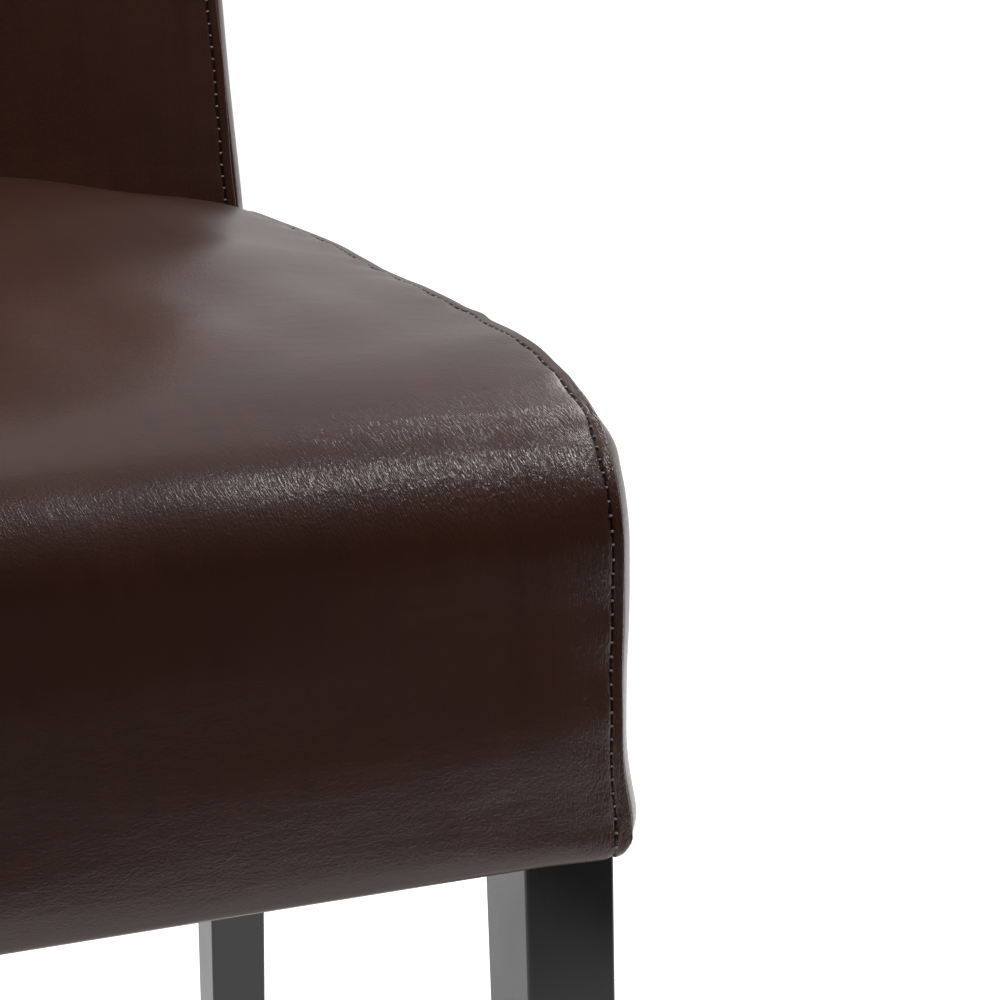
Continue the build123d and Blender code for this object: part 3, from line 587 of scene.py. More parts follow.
def make_leather():
    """Dark brown leather: pebbled grain, fine wrinkles across bends, mottled colour and uneven polish."""
    coat = {"Coat_Weight": 0.5, "Coat_IOR": 1.5, "Coat_Roughness": 0.22}
    material, tree, shader = new_material("brown_leather", 0.45, IOR=1.5, Specular_IOR_Level=0.30, **coat)
    place = add(tree, "TexCoord").outputs["Object"]
    hide = add(tree, "UVMap", uv_map="hide").outputs[0]
    creases = add(tree, "Attribute", attribute_name="creases").outputs["Fac"]
    slanted = add(tree, "VectorRotate", {"Vector": hide}, rotation_type="Z_AXIS", Angle=-0.2).outputs[0]

    mottle = noise(tree, place, 7.0, Detail=5.0, Roughness=0.6)
    streaks = stretched_noise(tree, hide, (90, 14, 1), Detail=4.0)
    pebbles = add(tree, "TexVoronoi", {"Vector": place}, Scale=900.0, feature="SMOOTH_F1").outputs[0]
    pores = noise(tree, place, 1500.0, Detail=2.0)
    hairs = stretched_noise(tree, slanted, (1000, 190, 1), Detail=1.0, Distortion=0.5)
    from_crest = math_node(tree, "ABSOLUTE", math_node(tree, "SUBTRACT", hairs, 0.5), 0.0)
    hairlines = spread(tree, from_crest, 0.0, 0.16, 1.0, 0.0)
    grain = stretched_noise(tree, hide, (420, 1250, 1), Detail=3.0, Distortion=0.8)
    creasing = stretched_noise(tree, hide, (45, 130, 1), Detail=4.0)

    tone = spread(tree, mottle, 0.3, 0.7, 0, 1)
    colour = mix_colours(tree, tone, (0.041, 0.0120, 0.0058), (0.066, 0.0195, 0.0095))
    streak_share = spread(tree, streaks, 0.45, 0.75, 0, 0.45)
    colour = mix_colours(tree, streak_share, colour, (0.035, 0.0108, 0.0056))
    tree.links.new(colour, shader.inputs["Base Color"])

    wear = spread(tree, pores, 0, 1, -0.04, 0.04)
    polish = math_node(tree, "ADD", spread(tree, mottle, 0.3, 0.7, 0.50, 0.42), wear)
    tree.links.new(polish, shader.inputs["Roughness"])

    folds = math_node(tree, "MULTIPLY", hairlines, creases)
    height = math_node(tree, "MULTIPLY", pebbles, 0.16)
    for pattern, share in ((pores, 0.08), (folds, 0.42), (grain, 0.22), (creasing, 0.6)):
        height = math_node(tree, "ADD", height, math_node(tree, "MULTIPLY", pattern, share))
    emboss(tree, shader, height, 1.0, 0.0003, ("Normal", "Coat Normal"))
    return material


def make_thread(name, colour):
    """Twisted sewing thread; in a light colour it also serves as the painted highlight on the knot loops."""
    material, tree, shader = new_material(name, 0.55)
    place = add(tree, "TexCoord").outputs["Object"]
    twist = add(tree, "TexWave", {"Vector": place}, Scale=900.0, Distortion=2.0).outputs[1]
    darker = tuple(part * 0.6 for part in colour)
    tree.links.new(mix_colours(tree, twist, darker, colour), shader.inputs["Base Color"])
    emboss(tree, shader, twist, 0.6, 0.0001)
    return material


def make_wood(name, light, dark, roughness, grain_depth, **settings):
    """Wood with its grain along the piece, bare or under paint."""
    material, tree, shader = new_material(name, roughness, **settings)
    place = add(tree, "TexCoord").outputs["Object"]
    grain = stretched_noise(tree, place, (260, 260, 9), Detail=6.0, Distortion=0.4)
    cloud = noise(tree, place, 14.0, Detail=3.0)
    colour = mix_colours(tree, spread(tree, grain, 0.35, 0.65, 0, 1), dark, light)
    colour = mix_colours(tree, spread(tree, cloud, 0.4, 0.8, 0, 0.5), colour, dark)
    tree.links.new(colour, shader.inputs["Base Color"])
    gloss = spread(tree, cloud, 0.3, 0.7, roughness - 0.05, roughness + 0.06)
    tree.links.new(gloss, shader.inputs["Roughness"])
    emboss(tree, shader, grain, 0.5, grain_depth)
    return material


def make_weave(name, light, dark, pitch):
    """Woven strap: threads over and under in both directions."""
    material, tree, shader = new_material(name, 0.85)
    place = add(tree, "TexCoord").outputs["Object"]
    lines = []
    for heading in ("X", "Y"):
        wave = add(tree, "TexWave", {"Vector": place}, Scale=math.pi / (10 * pitch), bands_direction=heading)
        lines.append(wave.outputs[1])
    weave = math_node(tree, "MULTIPLY", lines[0], lines[1])
    fuzz = noise(tree, place, 400.0, Detail=3.0)
    share = math_node(tree, "MULTIPLY", weave, fuzz)
    tree.links.new(mix_colours(tree, share, dark, light), shader.inputs["Base Color"])
    emboss(tree, shader, weave, 0.7, 0.0004)
    return material


def make_matted(name, light, dark, scale, depth):
    """Matted fibre or moulded surface: non-woven cloth or nylon."""
    material, tree, shader = new_material(name, 0.7)
    place = add(tree, "TexCoord").outputs["Object"]
    fibres = noise(tree, place, scale, Detail=6.0, Distortion=1.5)
    cells = add(tree, "TexVoronoi", {"Vector": place}, Scale=scale / 3).outputs[0]
    tree.links.new(mix_colours(tree, fibres, dark, light), shader.inputs["Base Color"])
    emboss(tree, shader, math_node(tree, "ADD", fibres, cells), 0.6, depth)
    return material


leather = make_leather()
dark_thread = make_thread("dark_thread", (0.012, 0.008, 0.007))
# Pale colour for the knot loops of the dark thread: a painted highlight where the thread catches the light
knot_painted_highlight = make_thread("knot_painted_highlight", (0.42, 0.38, 0.35))
matted_cloth = make_matted("matted_cloth", (0.028, 0.028, 0.030), (0.012, 0.012, 0.013), 900.0, 0.0003)
PAINT_LIGHT = (0.0065, 0.0065, 0.0055)
PAINT_DARK = (0.0045, 0.0045, 0.0038)

# Finish of the pieces whose shape stays as constructed
finishes = {
    "black_wood": make_wood("black_paint", PAINT_LIGHT, PAINT_DARK, 0.25, 0.00004, IOR=1.52),
    "frame_wood": make_wood("bare_wood", (0.62, 0.47, 0.31), (0.47, 0.33, 0.20), 0.6, 0.0002),
    "tenon_wood": make_wood("tenon_wood", (0.70, 0.56, 0.39), (0.55, 0.40, 0.25), 0.6, 0.0002),
    "webbing": make_weave("strap_weave", (0.20, 0.19, 0.18), (0.09, 0.085, 0.08), 0.0024),
    "glide_nylon": make_matted("nylon", (0.060, 0.060, 0.060), (0.040, 0.040, 0.040), 300.0, 0.00003),
}
for subpart in frame["record"]["subparts"]:
    finish = finishes.get(subpart["material_slot"])
    if finish is not None:
        mesh = frame["nodes"][subpart["node"]].data
        mesh.materials.clear()
        mesh.materials.append(finish)


# Seams: distance from the fold and height of each point across a sewn edge

def sewn_edge(spacing, reach, stitched):
    """Distances from the fold and heights, from the turned-under edge of a panel to its middle."""
    roll = FOLD_RADIUS * (1 - np.sin(FOLD_TURNS))
    roll_height = FOLD_RADIUS * (np.cos(FOLD_TURNS) - 1)
    strip = np.linspace(FOLD_RADIUS, STITCH_INSET - 0.8, 6)
    near = np.concatenate([strip, STITCH_INSET + np.array(BESIDE_STITCH)])
    steps = np.linspace(near[-1], reach, 1 + max(1, round((reach - near[-1]) / spacing)))
    inward = np.concatenate([near, steps[1:]])
    from_stitch = inward - STITCH_INSET
    height = -SEAM_SINK * from_seam(inward, SEAM_REACH)
    if stitched:
        height = height - DIMPLE_DEPTH * np.exp(-np.abs(from_stitch) / DIMPLE_REACH)
        height = height - GROOVE_DEPTH * bell(from_stitch, 0, GROOVE_WIDTH)
    edge_height = height[0] + roll_height
    return np.concatenate([roll, inward]), np.concatenate([edge_height, height])


def side_section(scale):
    """Points of a side panel from under the fold of its neighbour, over a soft bevel to the side: how far in
    from the side they lie, and how high."""
    bevel = np.radians(np.linspace(BEVEL_START, BEVEL_END, BEVEL_STEPS + 1))
    corner = np.radians(np.linspace(BEVEL_END, 90, BEVEL_STEPS + 1))
    turns = np.concatenate([(bevel[1:] + bevel[:-1]) / 2, (corner[1:] + corner[:-1]) / 2])
    corner_length = SIDE_CORNER * (corner[-1] - corner[0])
    lengths = scale / BEVEL_STEPS * np.repeat([BEVEL_LENGTH, corner_length], BEVEL_STEPS)
    run = np.concatenate([[0], np.cumsum(lengths * np.cos(turns))])
    drop = np.concatenate([[0], np.cumsum(lengths * np.sin(turns))])
    inward = run[-1] - run
    under = [(inward[0] + step, -SIDE_DROP - sink) for step, sink in UNDER_FOLD]
    return [*under, *zip(inward, -SIDE_DROP - drop)]


def both_sides(inward, height):
    """Columns of a panel from its left edge to its right edge: side, distance from that fold, height."""
    left = [(-1, run, rise) for run, rise in zip(inward, height)]
    right = [(1, run, rise) for run, rise in zip(inward, height)]
    return np.array(left[:-1] + right[::-1]).T


def rolled_rows(edge, axis, way, radius, rise):
    """Rows that roll over from the edge of a panel, from the one furthest round."""
    rows = []
    for angle in HEM_TURNS:
        row = edge.copy()
        row[:, axis] += way * radius * (1 - math.cos(angle))
        row[:, 2] += rise * radius * math.sin(angle)
        rows.append(row)
    return rows


def hem_rows(edge, axis, way, turn):
    """Rows that roll under the hem from the lower edge of a panel and go in by a turn, outermost first."""
    rows = rolled_rows(edge, axis, way, HEM_ROLL, -1)[::-1]
    for share in (0.5, 1.0):
        row = edge.copy()
        row[:, axis] += way * (HEM_ROLL + turn * share)
        row[:, 2] = HEM_HEIGHT
        rows.append(row)
    return rows


# Cloth simulation of the padded panels

def even_picks(travelled, spacing):
    """Numbers of points along a line that lie about evenly apart, with both ends."""
    goals = np.linspace(0, travelled[-1], 1 + round(travelled[-1] / spacing))
    return np.unique([np.argmin(np.abs(travelled - goal)) for goal in goals])


def evened(values, passes):
    """Grid of values evened out between neighbours, with its border kept."""
    values = values.copy()
    for _ in range(passes):
        values[1:-1] = (values[:-2] + 2 * values[1:-1] + values[2:]) / 4
        values[:, 1:-1] = (values[:, :-2] + 2 * values[:, 1:-1] + values[:, 2:]) / 4
    return values


def settled_swell(points, normal, inward):
    """How far a padded panel moves out from its planned shape: simulated as cloth with a little slack, sewn
    down along its border and pressed out by the padding."""
    swell = np.zeros(points.shape[:2])
    along = lengths_along(points, 0)
    across = lengths_along(points, 1)
    middle = points.shape[1] // 2
    seams = np.argsort(np.abs(inward - STITCH_INSET))[:2]
    first, last = min(seams), max(seams)
    rows = even_picks(along[:, middle], SETTLE_SPACING)
    columns = first + even_picks(across[0, first : last + 1] - across[0, first], SETTLE_SPACING)
    picked = np.ix_(rows, columns)
    start = points[picked]
    flip = np.mean(np.sum(normals_of(points) * normal, axis=2)) < 0
    faces = grid_faces(len(rows), len(columns), flip)
    piece = mesh_object("settling", start.reshape(-1, 3), faces, leather)
    border = np.ones(start.shape[:2], dtype=bool)
    border[1:-1, 1:-1] = False
    sewn = piece.vertex_groups.new(name="sewn")
    sewn.add(np.flatnonzero(border).tolist(), 1.0, "REPLACE")
    cloth = piece.modifiers.new("settling", "CLOTH").settings
    cloth.vertex_group_mass = "sewn"
    cloth.mass = SETTLE_MASS
    cloth.use_pressure = True
    cloth.uniform_pressure_force = SETTLE_PRESSURE
    cloth.shrink_min = -SETTLE_SLACK
    cloth.effector_weights.gravity = 0
    for number in range(1, SETTLE_FRAMES + 1):
        bpy.context.scene.frame_set(number)
    shaped = piece.evaluated_get(bpy.context.evaluated_depsgraph_get()).data
    places = vertex_values(shaped, "co")
    bpy.data.objects.remove(piece)
    bpy.context.scene.frame_set(1)
    moved = np.sum((places.reshape(start.shape) / MM - start) * normal[picked], axis=2)
    moved = np.where(border, 0, moved - np.mean(moved))
    moved = moved * min(1, SETTLE_CAP / np.max(np.abs(moved)))
    for number, column in enumerate(columns):
        swell[:, column] = np.interp(along[:, column], along[rows, column], moved[:, number])
    for row in range(len(swell)):
        swell[row] = np.interp(across[row], across[row, columns], swell[row, columns], left=0, right=0)
    return evened(swell, SETTLE_EVENING)


def swollen(base, swell, facing, inward):
    """Padded panel moved out from its planned shape by its own swell and by settling."""
    normal = sewn_normals(base)
    normal = normal * np.sign(np.mean(normal @ np.array(facing)))
    swell += settled_swell(base, normal, inward)
    return base + normal * swell[:, :, None]


# Seat panel: from the hem up the front, over the nose and back to the tuck in front of the back
front_places = np.linspace(HEM_ROLL / (NOSE_START - HEM_HEIGHT), 1, 38)
nose_places = np.linspace(1, 2, 30)[1:]
shoulder_places = np.linspace(2, 3, 22)[1:]
top_places = np.linspace(3, 3.94, 78)[1:]
tuck_places = [3.955, 3.967, 3.977, 3.985, 3.991, 3.996, 4.0]
seat_places = np.concatenate([front_places, nose_places, shoulder_places, top_places, tuck_places])
seat_columns = both_sides(*sewn_edge(4.0, SEAT_HALF_WIDTH, True))


def edge_shift(side, depth, height):
    """Small irregularities of the sewn edge of the seat, sideways."""
    on_top = ramp(height, *EDGE_TURN)
    shift = on_top * dents(depth, TOP_DENTS) + (1 - on_top) * dents(height, FRONT_DENTS)
    shift += dents(height, NOSE_DENTS)
    return shift + EDGE_WAVES * waves(20 + side, 30, 80, depth + height)


def hem_flare(height):
    """How much further out the sewn edge of the seat lies near the hem."""
    return HEM_FLARE * near_hem(height, HEM_FLARE_HEIGHT)


def fold_inset(height):
    """How far the fold of the seat panel lies in from the side: more on the front than on the top."""
    return FRONT_FOLD_INSET + (TOP_FOLD_INSET - FRONT_FOLD_INSET) * ramp(height, *FOLD_RANGE)


def seat_edge_path(side):
    """Depth, height and half width along the sewn edge of the seat."""
    share = np.zeros(len(seat_places))
    for _ in range(2):
        points = [seat_point(share[number : number + 1], place) for number, place in enumerate(seat_places)]
        depth, height = np.array(points)[:, :, 0].T
        width = half_width(depth, height) + edge_shift(side, depth, height) + hem_flare(height)
        share = 1 - ((width - fold_inset(height)) / SEAT_HALF_WIDTH) ** 2
        share = np.clip(share, 0, 1)
    return depth, height, width


def tuck_sink(to_back):
    """How far the seat draws down where it is tucked in front of the back."""
    return TUCK_SINK * np.exp(-np.maximum(to_back, 0) / TUCK_REACH)


def seat_base():
    """Planned shape of the seat panel, from the top of the rolled hem to the back."""
    sides, inward, _ = seat_columns
    on_strip = np.clip(1 - inward / STITCH_INSET, 0, 1)
    folds = {}
    for side, _ in SIDES:
        _, edge_height, edge_width = seat_edge_path(side)
        flare = hem_flare(edge_height)
        folds[side] = edge_width - fold_inset(edge_height) - flare
    rows = []
    for number, place in enumerate(seat_places):
        fold = np.where(sides < 0, folds[-1][number], folds[1][number])
        x = sides * (fold * (1 - inward / SEAT_HALF_WIDTH) + flare[number] * on_strip)
        share = np.clip(1 - (x / SEAT_HALF_WIDTH) ** 2, 0, 1)
        depth, height = seat_point(share, place)
        rows.append(np.stack([x, depth, height], axis=1))
    return np.array(rows)


def seat_swell(base, path):
    """How far the leather of the seat stands out from its planned shape, before it settles."""
    sides, inward, rise = seat_columns
    x, depth, height = np.moveaxis(base, 2, 0)
    swell = rise[None, :] * ramp(path, *RISE_RANGE) + 0 * path
    ripple = from_seam(inward, RIPPLE_REACH) * (inward > STITCH_INSET)
    ripple = ripple * (RIPPLE + NOSE_RIPPLE * bell(path, *NOSE_SPOT))
    swell += ripple * waves(3, 16, 46, path + SIDES_APART * sides)
    at_corner = bell(path, *CORNER_SPOT) + CORNER_REST * ramp(path, *CORNER_REST_RANGE)
    swell -= CORNER_PULL * at_corner * from_seam(inward, CORNER_REACH)
    swell += dents(path, PUCKERS) * from_seam(inward, PUCKER_REACH)
    swell += ramp(path, *TOP_WAVE_RANGE) * TOP_WAVES * waves(5, 70, 190, x, depth)
    below_nose = 1 - ramp(path, *FRONT_WAVE_RANGE)
    swell += below_nose * FRONT_WAVES * waves(6, 60, 160, 0.35 * x, 1.6 * height)
    corner = bell(np.abs(x), *CORNER_WAVE_WIDTH) * (1 - ramp(path, *CORNER_WAVE_RANGE))
    swell += corner * CORNER_WAVES * waves(7, 24, 60, x, 0.15 * height)
    calm = 1 - HEM_CALM + HEM_CALM * ramp(path, *HEM_CALM_RANGE)
    return swell * np.where(inward < STITCH_INSET - 1, 1, calm)


def make_seat_panel():
    """Seat and front in one panel, crowned, sewn down at both sides and rolled under at the hem."""
    _, inward, _ = seat_columns
    base = seat_base()
    path = lengths_along(base, 0)
    points = swollen(base, seat_swell(base, path), (0, 0, 1), inward)
    points[:, :, 2] -= tuck_sink(back_depth(points[:, :, 2]) - points[:, :, 1])

    tuck = []
    for drop in TUCK_DROPS:
        row = points[-1].copy()
        row[:, 2] -= drop
        row[:, 1] = back_depth(row[:, 2]) - LEATHER
        tuck.append(row)
    at_leg = np.abs(points[0, :, 0]) > FRONT_LEG_INNER - LEG_MARGIN
    under = hem_rows(points[0], 1, 1, np.where(at_leg, HEM_TURN_AT_LEG, HEM_TURN))[::-1]
    points = np.concatenate([under, points, tuck])

    beyond = inward - STITCH_INSET
    notch = HEM_NOTCH * np.exp(-np.abs(beyond) / HEM_NOTCH_WIDTH)
    notch *= np.where(beyond > HEM_NOTCH_EDGE, 1, HEM_NOTCH_OUTSIDE)
    reach = HEM_CORNER * np.clip(1 - inward / STITCH_INSET, 0, HEM_CORNER_REACH)
    corner_lift = HEM_CORNER - np.sqrt(HEM_CORNER**2 - reach**2)
    sag = HEM_SAG * ramp(np.abs(points[:, :, 0]), *HEM_SAG_RANGE)
    points[:, :, 2] += (notch + corner_lift - sag) * near_hem(points[:, :, 2], HEM_FADE)

    on_panel = REST_CREASES + (1 - REST_CREASES) * bell(path[:, 0], *NOSE_CREASE_SPOT)
    crease_rows = np.full(len(points), PLAIN_CREASES)
    crease_rows[len(under) : len(under) + len(path)] = on_panel
    to_side = ramp(np.abs(points[:, :, 0]), *CREASE_RANGE)
    creases = crease_rows[:, None] * (MIDDLE_CREASES + (1 - MIDDLE_CREASES) * to_side)
    creases = np.clip(creases + SEAM_CREASES * from_seam(inward, SEAM_CREASE_REACH)[None, :], 0, 1)
    nodes = ["seat_cover", "seat_foam", "front_wadding"]
    pared = len(FOLD_TURNS)
    return leather_panel(
        "seat_leather", points, (0, -0.5, 1), creases, nodes, first_row=len(under), pared=pared
    )


seat_leather = make_seat_panel()


# Side panels of the seat

def side_edge(side):
    """Depth, height and half width along the top of a side panel, with the part beside the back."""
    depth, height, width = seat_edge_path(side)
    height = height - tuck_sink(back_depth(height) - depth)
    top_depth, top_height = depth[-1], height[-1]
    behind = np.linspace(top_depth, rear_depth(np.asarray(top_height)), 16)[1:]
    drop = BEHIND_DROP * ramp(behind, top_depth, top_depth + BEHIND_RUN)
    depth = np.concatenate([depth, behind])
    height = np.concatenate([height, top_height - drop])
    width = np.concatenate([width, half_width(behind, top_height)])
    return depth, height, width


def bevel_rows(section, depth, height, width):
    """Rows of a side panel from under the fold, over the bevel, to the side of the seat."""
    normal_depth, normal_height = across_line(depth, height)
    bulge = SIDE_BULGE * (1 - BULGE_LOSS * ramp(height, *BULGE_RANGE))
    bulge = bulge * ramp(rear_depth(height) - depth, 0, BULGE_REAR)
    beside_nose = ramp(height, *NOSE_BULGE_RISE) - ramp(height, *NOSE_BULGE_FALL)
    beside_nose += bell(height, *NOSE_BULGE_SPOT)
    at_hem = near_hem(height, HEM_DRAW_HEIGHT)
    rows = []
    for inward, out in section:
        outer = np.clip(1 - inward / section[len(UNDER_FOLD)][0], 0, 1)
        x = width + bulge - inward + outer * (NOSE_BULGE * beside_nose - HEM_DRAW * at_hem)
        row_height = height + normal_height * out
        row_depth = np.minimum(depth + normal_depth * out, rear_depth(row_height) - REAR_GAP)
        rows.append(np.stack([x, row_depth, row_height], axis=1))
    return rows


def face_rows(side, start, travelled):
    """Rows of a side panel from the lower edge of its bevel down to the hem."""
    share = travelled / travelled[-1]
    hem_top = HEM_HEIGHT + HEM_ROLL
    hem_rear = rear_depth(np.asarray(hem_top))
    hem_depth = start[0, 1] + (hem_rear - start[0, 1]) * share
    start[:, 2] = np.maximum(start[:, 2], hem_top)
    top_rear = start[-1, 1]
    edge_gap = start[:, 0] - half_width(start[:, 1], start[:, 2])
    rows = []
    for part in np.linspace(0, 1, 41)[1:]:
        row_height = start[:, 2] + (hem_top - start[:, 2]) * part
        row_depth = start[:, 1] + (hem_depth - start[:, 1]) * part
        line = top_rear + (hem_rear - top_rear) * (start[-1, 2] - row_height) / (start[-1, 2] - hem_top)
        row_depth = row_depth * (1 + (rear_depth(row_height) / line - 1) * share)
        kept = SIDE_KEEPS + (1 - SIDE_KEEPS) * np.exp(-part * travelled[-1] / SIDE_FADE)
        x = half_width(row_depth, row_height) + edge_gap * kept
        x += ramp(part, *SIDE_WAVE_RANGE) * SIDE_WAVES * waves(31 + side, 60, 150, row_depth, row_height)
        x += HEM_PUFF * bell(row_height, *HEM_PUFF_HEIGHT) * bell(row_depth, *HEM_PUFF_DEPTH)
        into_corner = np.maximum(REAR_ROUND - (rear_depth(row_height) - row_depth), 0)
        x = x - REAR_ROUND + np.sqrt(np.maximum(REAR_ROUND**2 - into_corner**2, 0))
        rows.append(np.stack([x, row_depth, row_height], axis=1))
    return rows


def side_panel(side, label):
    """Leather on one side of the seat: out from under the sewn edge, down to the rolled hem."""
    section = side_section(1.0)
    depth, height, width = side_edge(side)
    rows = bevel_rows(section, depth, height, width)
    rows = rows + face_rows(side, rows[-1], path_length(depth, height))
    last = rows[-1]
    behind_front_leg = last[:, 1] > FRONT_LEG_REAR + LEG_CLEARANCE
    before_rear_leg = last[:, 1] < back_depth(HEM_HEIGHT, -REAR_LEG_FRONT) - LEG_CLEARANCE
    turn = np.where(behind_front_leg & before_rear_leg, HEM_TURN, SIDE_TURN_AT_LEG)
    points = np.array(rows + hem_rows(last, 0, -1, turn))

    outer = np.clip(1 - np.array(section)[:, 0] / section[len(UNDER_FOLD)][0], 0, 1)
    turned = []
    for inset, back, drop in FRONT_EDGE_TURNS:
        column = points[:, :1].copy()
        column[: len(section), 0, 0] -= inset * (LEAST_TURN + outer)
        column[:, 0, 1] += back
        column[:, 0, 2] -= drop
        turned.append(column)
    points = np.concatenate([*turned, points], axis=1)
    blank = np.zeros((points.shape[0] - 1, points.shape[1] - 1), dtype=bool)
    blank[len(section) - 1 :, : len(turned)] = True
    lift = SIDE_LIFT * (1 - ramp(points[:, :, 1], *SIDE_LIFT_RANGE))
    points[:, :, 2] += lift * near_hem(points[:, :, 2], SIDE_LIFT_HEIGHT)
    points[:, :, 0] *= side
    nodes = [f"seat_side_cover_{label}", f"side_wadding_{label}"]
    leather_panel(f"seat_side_leather_{label}", points, (side, 0, 0), SIDE_CREASES, nodes, blank)


for side, label in SIDES:
    side_panel(side, label)


# Back: its front carried over the top, the strips on its sides, and the rear

def back_path(share, rear):
    """Forward and upward places along the back, from its foot over the top, and down the rear if wanted."""
    belly = SIDE_BELLY + (BACK_BELLY - SIDE_BELLY) * share
    front_top = BACK_LENGTH - BACK_TOP_RADIUS
    rear_edge = BACK_REAR_RADIUS - BACK_THICKNESS
    low = np.linspace(BACK_FOOT, BELLY_START, 16)
    high = np.linspace(BELLY_START, front_top, 110)[1:]
    high_share = (high - BELLY_START) / (front_top - BELLY_START)
    turn = np.radians(np.linspace(0, 90, 12))[1:]
    forward = [0 * low, belly * 4 * high_share * (1 - high_share), BACK_TOP_RADIUS * (np.cos(turn) - 1)]
    up = [low, high, front_top + BACK_TOP_RADIUS * np.sin(turn)]
    flat = np.linspace(-BACK_TOP_RADIUS, rear_edge, 9)[1:]
    forward += [flat, rear_edge - BACK_REAR_RADIUS * np.sin(turn)]
    up += [0 * flat + BACK_LENGTH, BACK_LENGTH - BACK_REAR_RADIUS * (1 - np.cos(turn))]
    if rear:
        down = np.linspace(BACK_LENGTH - BACK_REAR_RADIUS, BACK_FOOT, 118)[1:]
        forward.append(0 * down - BACK_THICKNESS)
        up.append(down)
    return np.concatenate(forward), np.concatenate(up)


back_columns = both_sides(*sewn_edge(5.0, BACK_HALF_WIDTH - BACK_FOLD_INSET, True))


def make_inside_back():
    """Front of the back, carried over the top, bellied and sewn down at both sides."""
    sides, inward, rise = back_columns
    x = sides * (BACK_HALF_WIDTH - BACK_FOLD_INSET - inward)
    columns = []
    for column_x in x:
        share = 1 - (column_x / BACK_HALF_WIDTH) ** 2
        depth, height = back_point(*back_path(share, False))
        columns.append(np.stack([np.full_like(depth, column_x), depth, height], axis=1))
    base = np.stack(columns, axis=1)
    path = lengths_along(base, 0)
    ripple = BACK_RIPPLE * from_seam(inward, BACK_RIPPLE_REACH) * (inward > STITCH_INSET)
    swell = rise[None, :] + ripple * waves(41, 18, 50, path + SIDES_APART * sides)
    points = swollen(base, swell, (0, -1, 0), inward)
    points[:, :, 0] += sides * BACK_EDGE_WAVES * waves(43, 40, 120, path) * np.exp(-inward / BACK_EDGE_REACH)
    end = points[-1] - np.array(REAR_END)
    points = np.concatenate([points, [end]])
    creases = PLAIN_CREASES + BACK_SEAM_CREASES * from_seam(inward, SEAM_CREASE_REACH)
    nodes = ["inside_back_cover", "back_foam"]
    return leather_panel("inside_back_leather", points, (0, -1, 0.2), creases, nodes, pared=len(FOLD_TURNS))


inside_back = make_inside_back()


def back_gusset(side, label):
    """Leather strip on one side of the back, out from under the sewn edges of the panels."""
    forward, up = back_path(0.0, True)
    travelled = path_length(forward, up)
    even = np.linspace(0, travelled[-1], 281)
    forward = np.interp(even, travelled, forward)
    up = np.interp(even, travelled, up)
    out_up, out_forward = across_line(up, forward)
    wider = 0.5 * BACK_BULGE + GUSSET_FLARE * (1 - ramp(up, 0, GUSSET_FLARE_HEIGHT))
    bulge = 0.5 * BACK_BULGE + wider * ramp(up, *GUSSET_TUCK)
    rows = []
    for inward, out in side_section(GUSSET_SCALE):
        depth, height = back_point(forward + out_forward * out, up + out_up * out)
        rows.append(np.stack([BACK_HALF_WIDTH + bulge - inward, depth, height], axis=1))
    edge = np.array(rows)
    half = len(even) // 2 + 1
    front = edge[:, :half]
    rear = edge[:, ::-1][:, :half]
    across = []
    for part in np.linspace(0, 1, 15)[1:-1]:
        row = front[-1] + (rear[-1] - front[-1]) * part
        row[:, 0] += GUSSET_BELLY * 4 * part * (1 - part)
        row[:, 0] += GUSSET_WAVES * waves(51 + side, 40, 110, row[:, 1], row[:, 2])
        across.append(row)
    points = np.concatenate([front, across, rear[::-1]])
    points[:, :, 0] *= side
    name = f"back_gusset_leather_{label}"
    leather_panel(name, points, (side, 0, 0), SIDE_CREASES, [f"back_gusset_{label}"])


for side, label in SIDES:
    back_gusset(side, label)


def make_outside_back():
    """Rear of the chair from under the top edge down to the rolled hem."""
    sides, inward, rise = both_sides(*sewn_edge(8.0, BACK_HALF_WIDTH, False))
    top = back_point(-BACK_THICKNESS, BACK_LENGTH - BACK_REAR_RADIUS)[1]
    rows = []
    for height in np.linspace(top, HEM_HEIGHT + HEM_ROLL, 130):
        flare = np.clip((SEAT_EDGE_HEIGHT - height) / (SEAT_EDGE_HEIGHT - HEM_HEIGHT), 0, 1)
        width = BACK_HALF_WIDTH + (REAR_HEM_HALF_WIDTH - BACK_HALF_WIDTH) * flare - REAR_STAND_OFF
        x = sides * width * (1 - inward / BACK_HALF_WIDTH)
        level = np.full_like(x, height)
        depth = rear_depth(level) + rise + REAR_STAND_OFF
        depth = depth + REAR_WAVES * waves(61, 80, 220, x, level) * ramp(inward, 0, 30)
        rows.append(np.stack([x, depth, level], axis=1))
    turned = rolled_rows(rows[0], 1, -1, FOLD_RADIUS, 1)
    at_leg = np.abs(rows[-1][:, 0]) > REAR_LEG_INNER - LEG_MARGIN
    under = hem_rows(rows[-1], 1, -1, np.where(at_leg, HEM_TURN_AT_LEG, HEM_TURN))
    points = np.array(turned + rows + under)
    nodes = ["outside_back_cover", "rear_wadding"]
    leather_panel("outside_back_leather", points, (0, 1, 0), PLAIN_CREASES, nodes, pared=len(FOLD_TURNS))


make_outside_back()
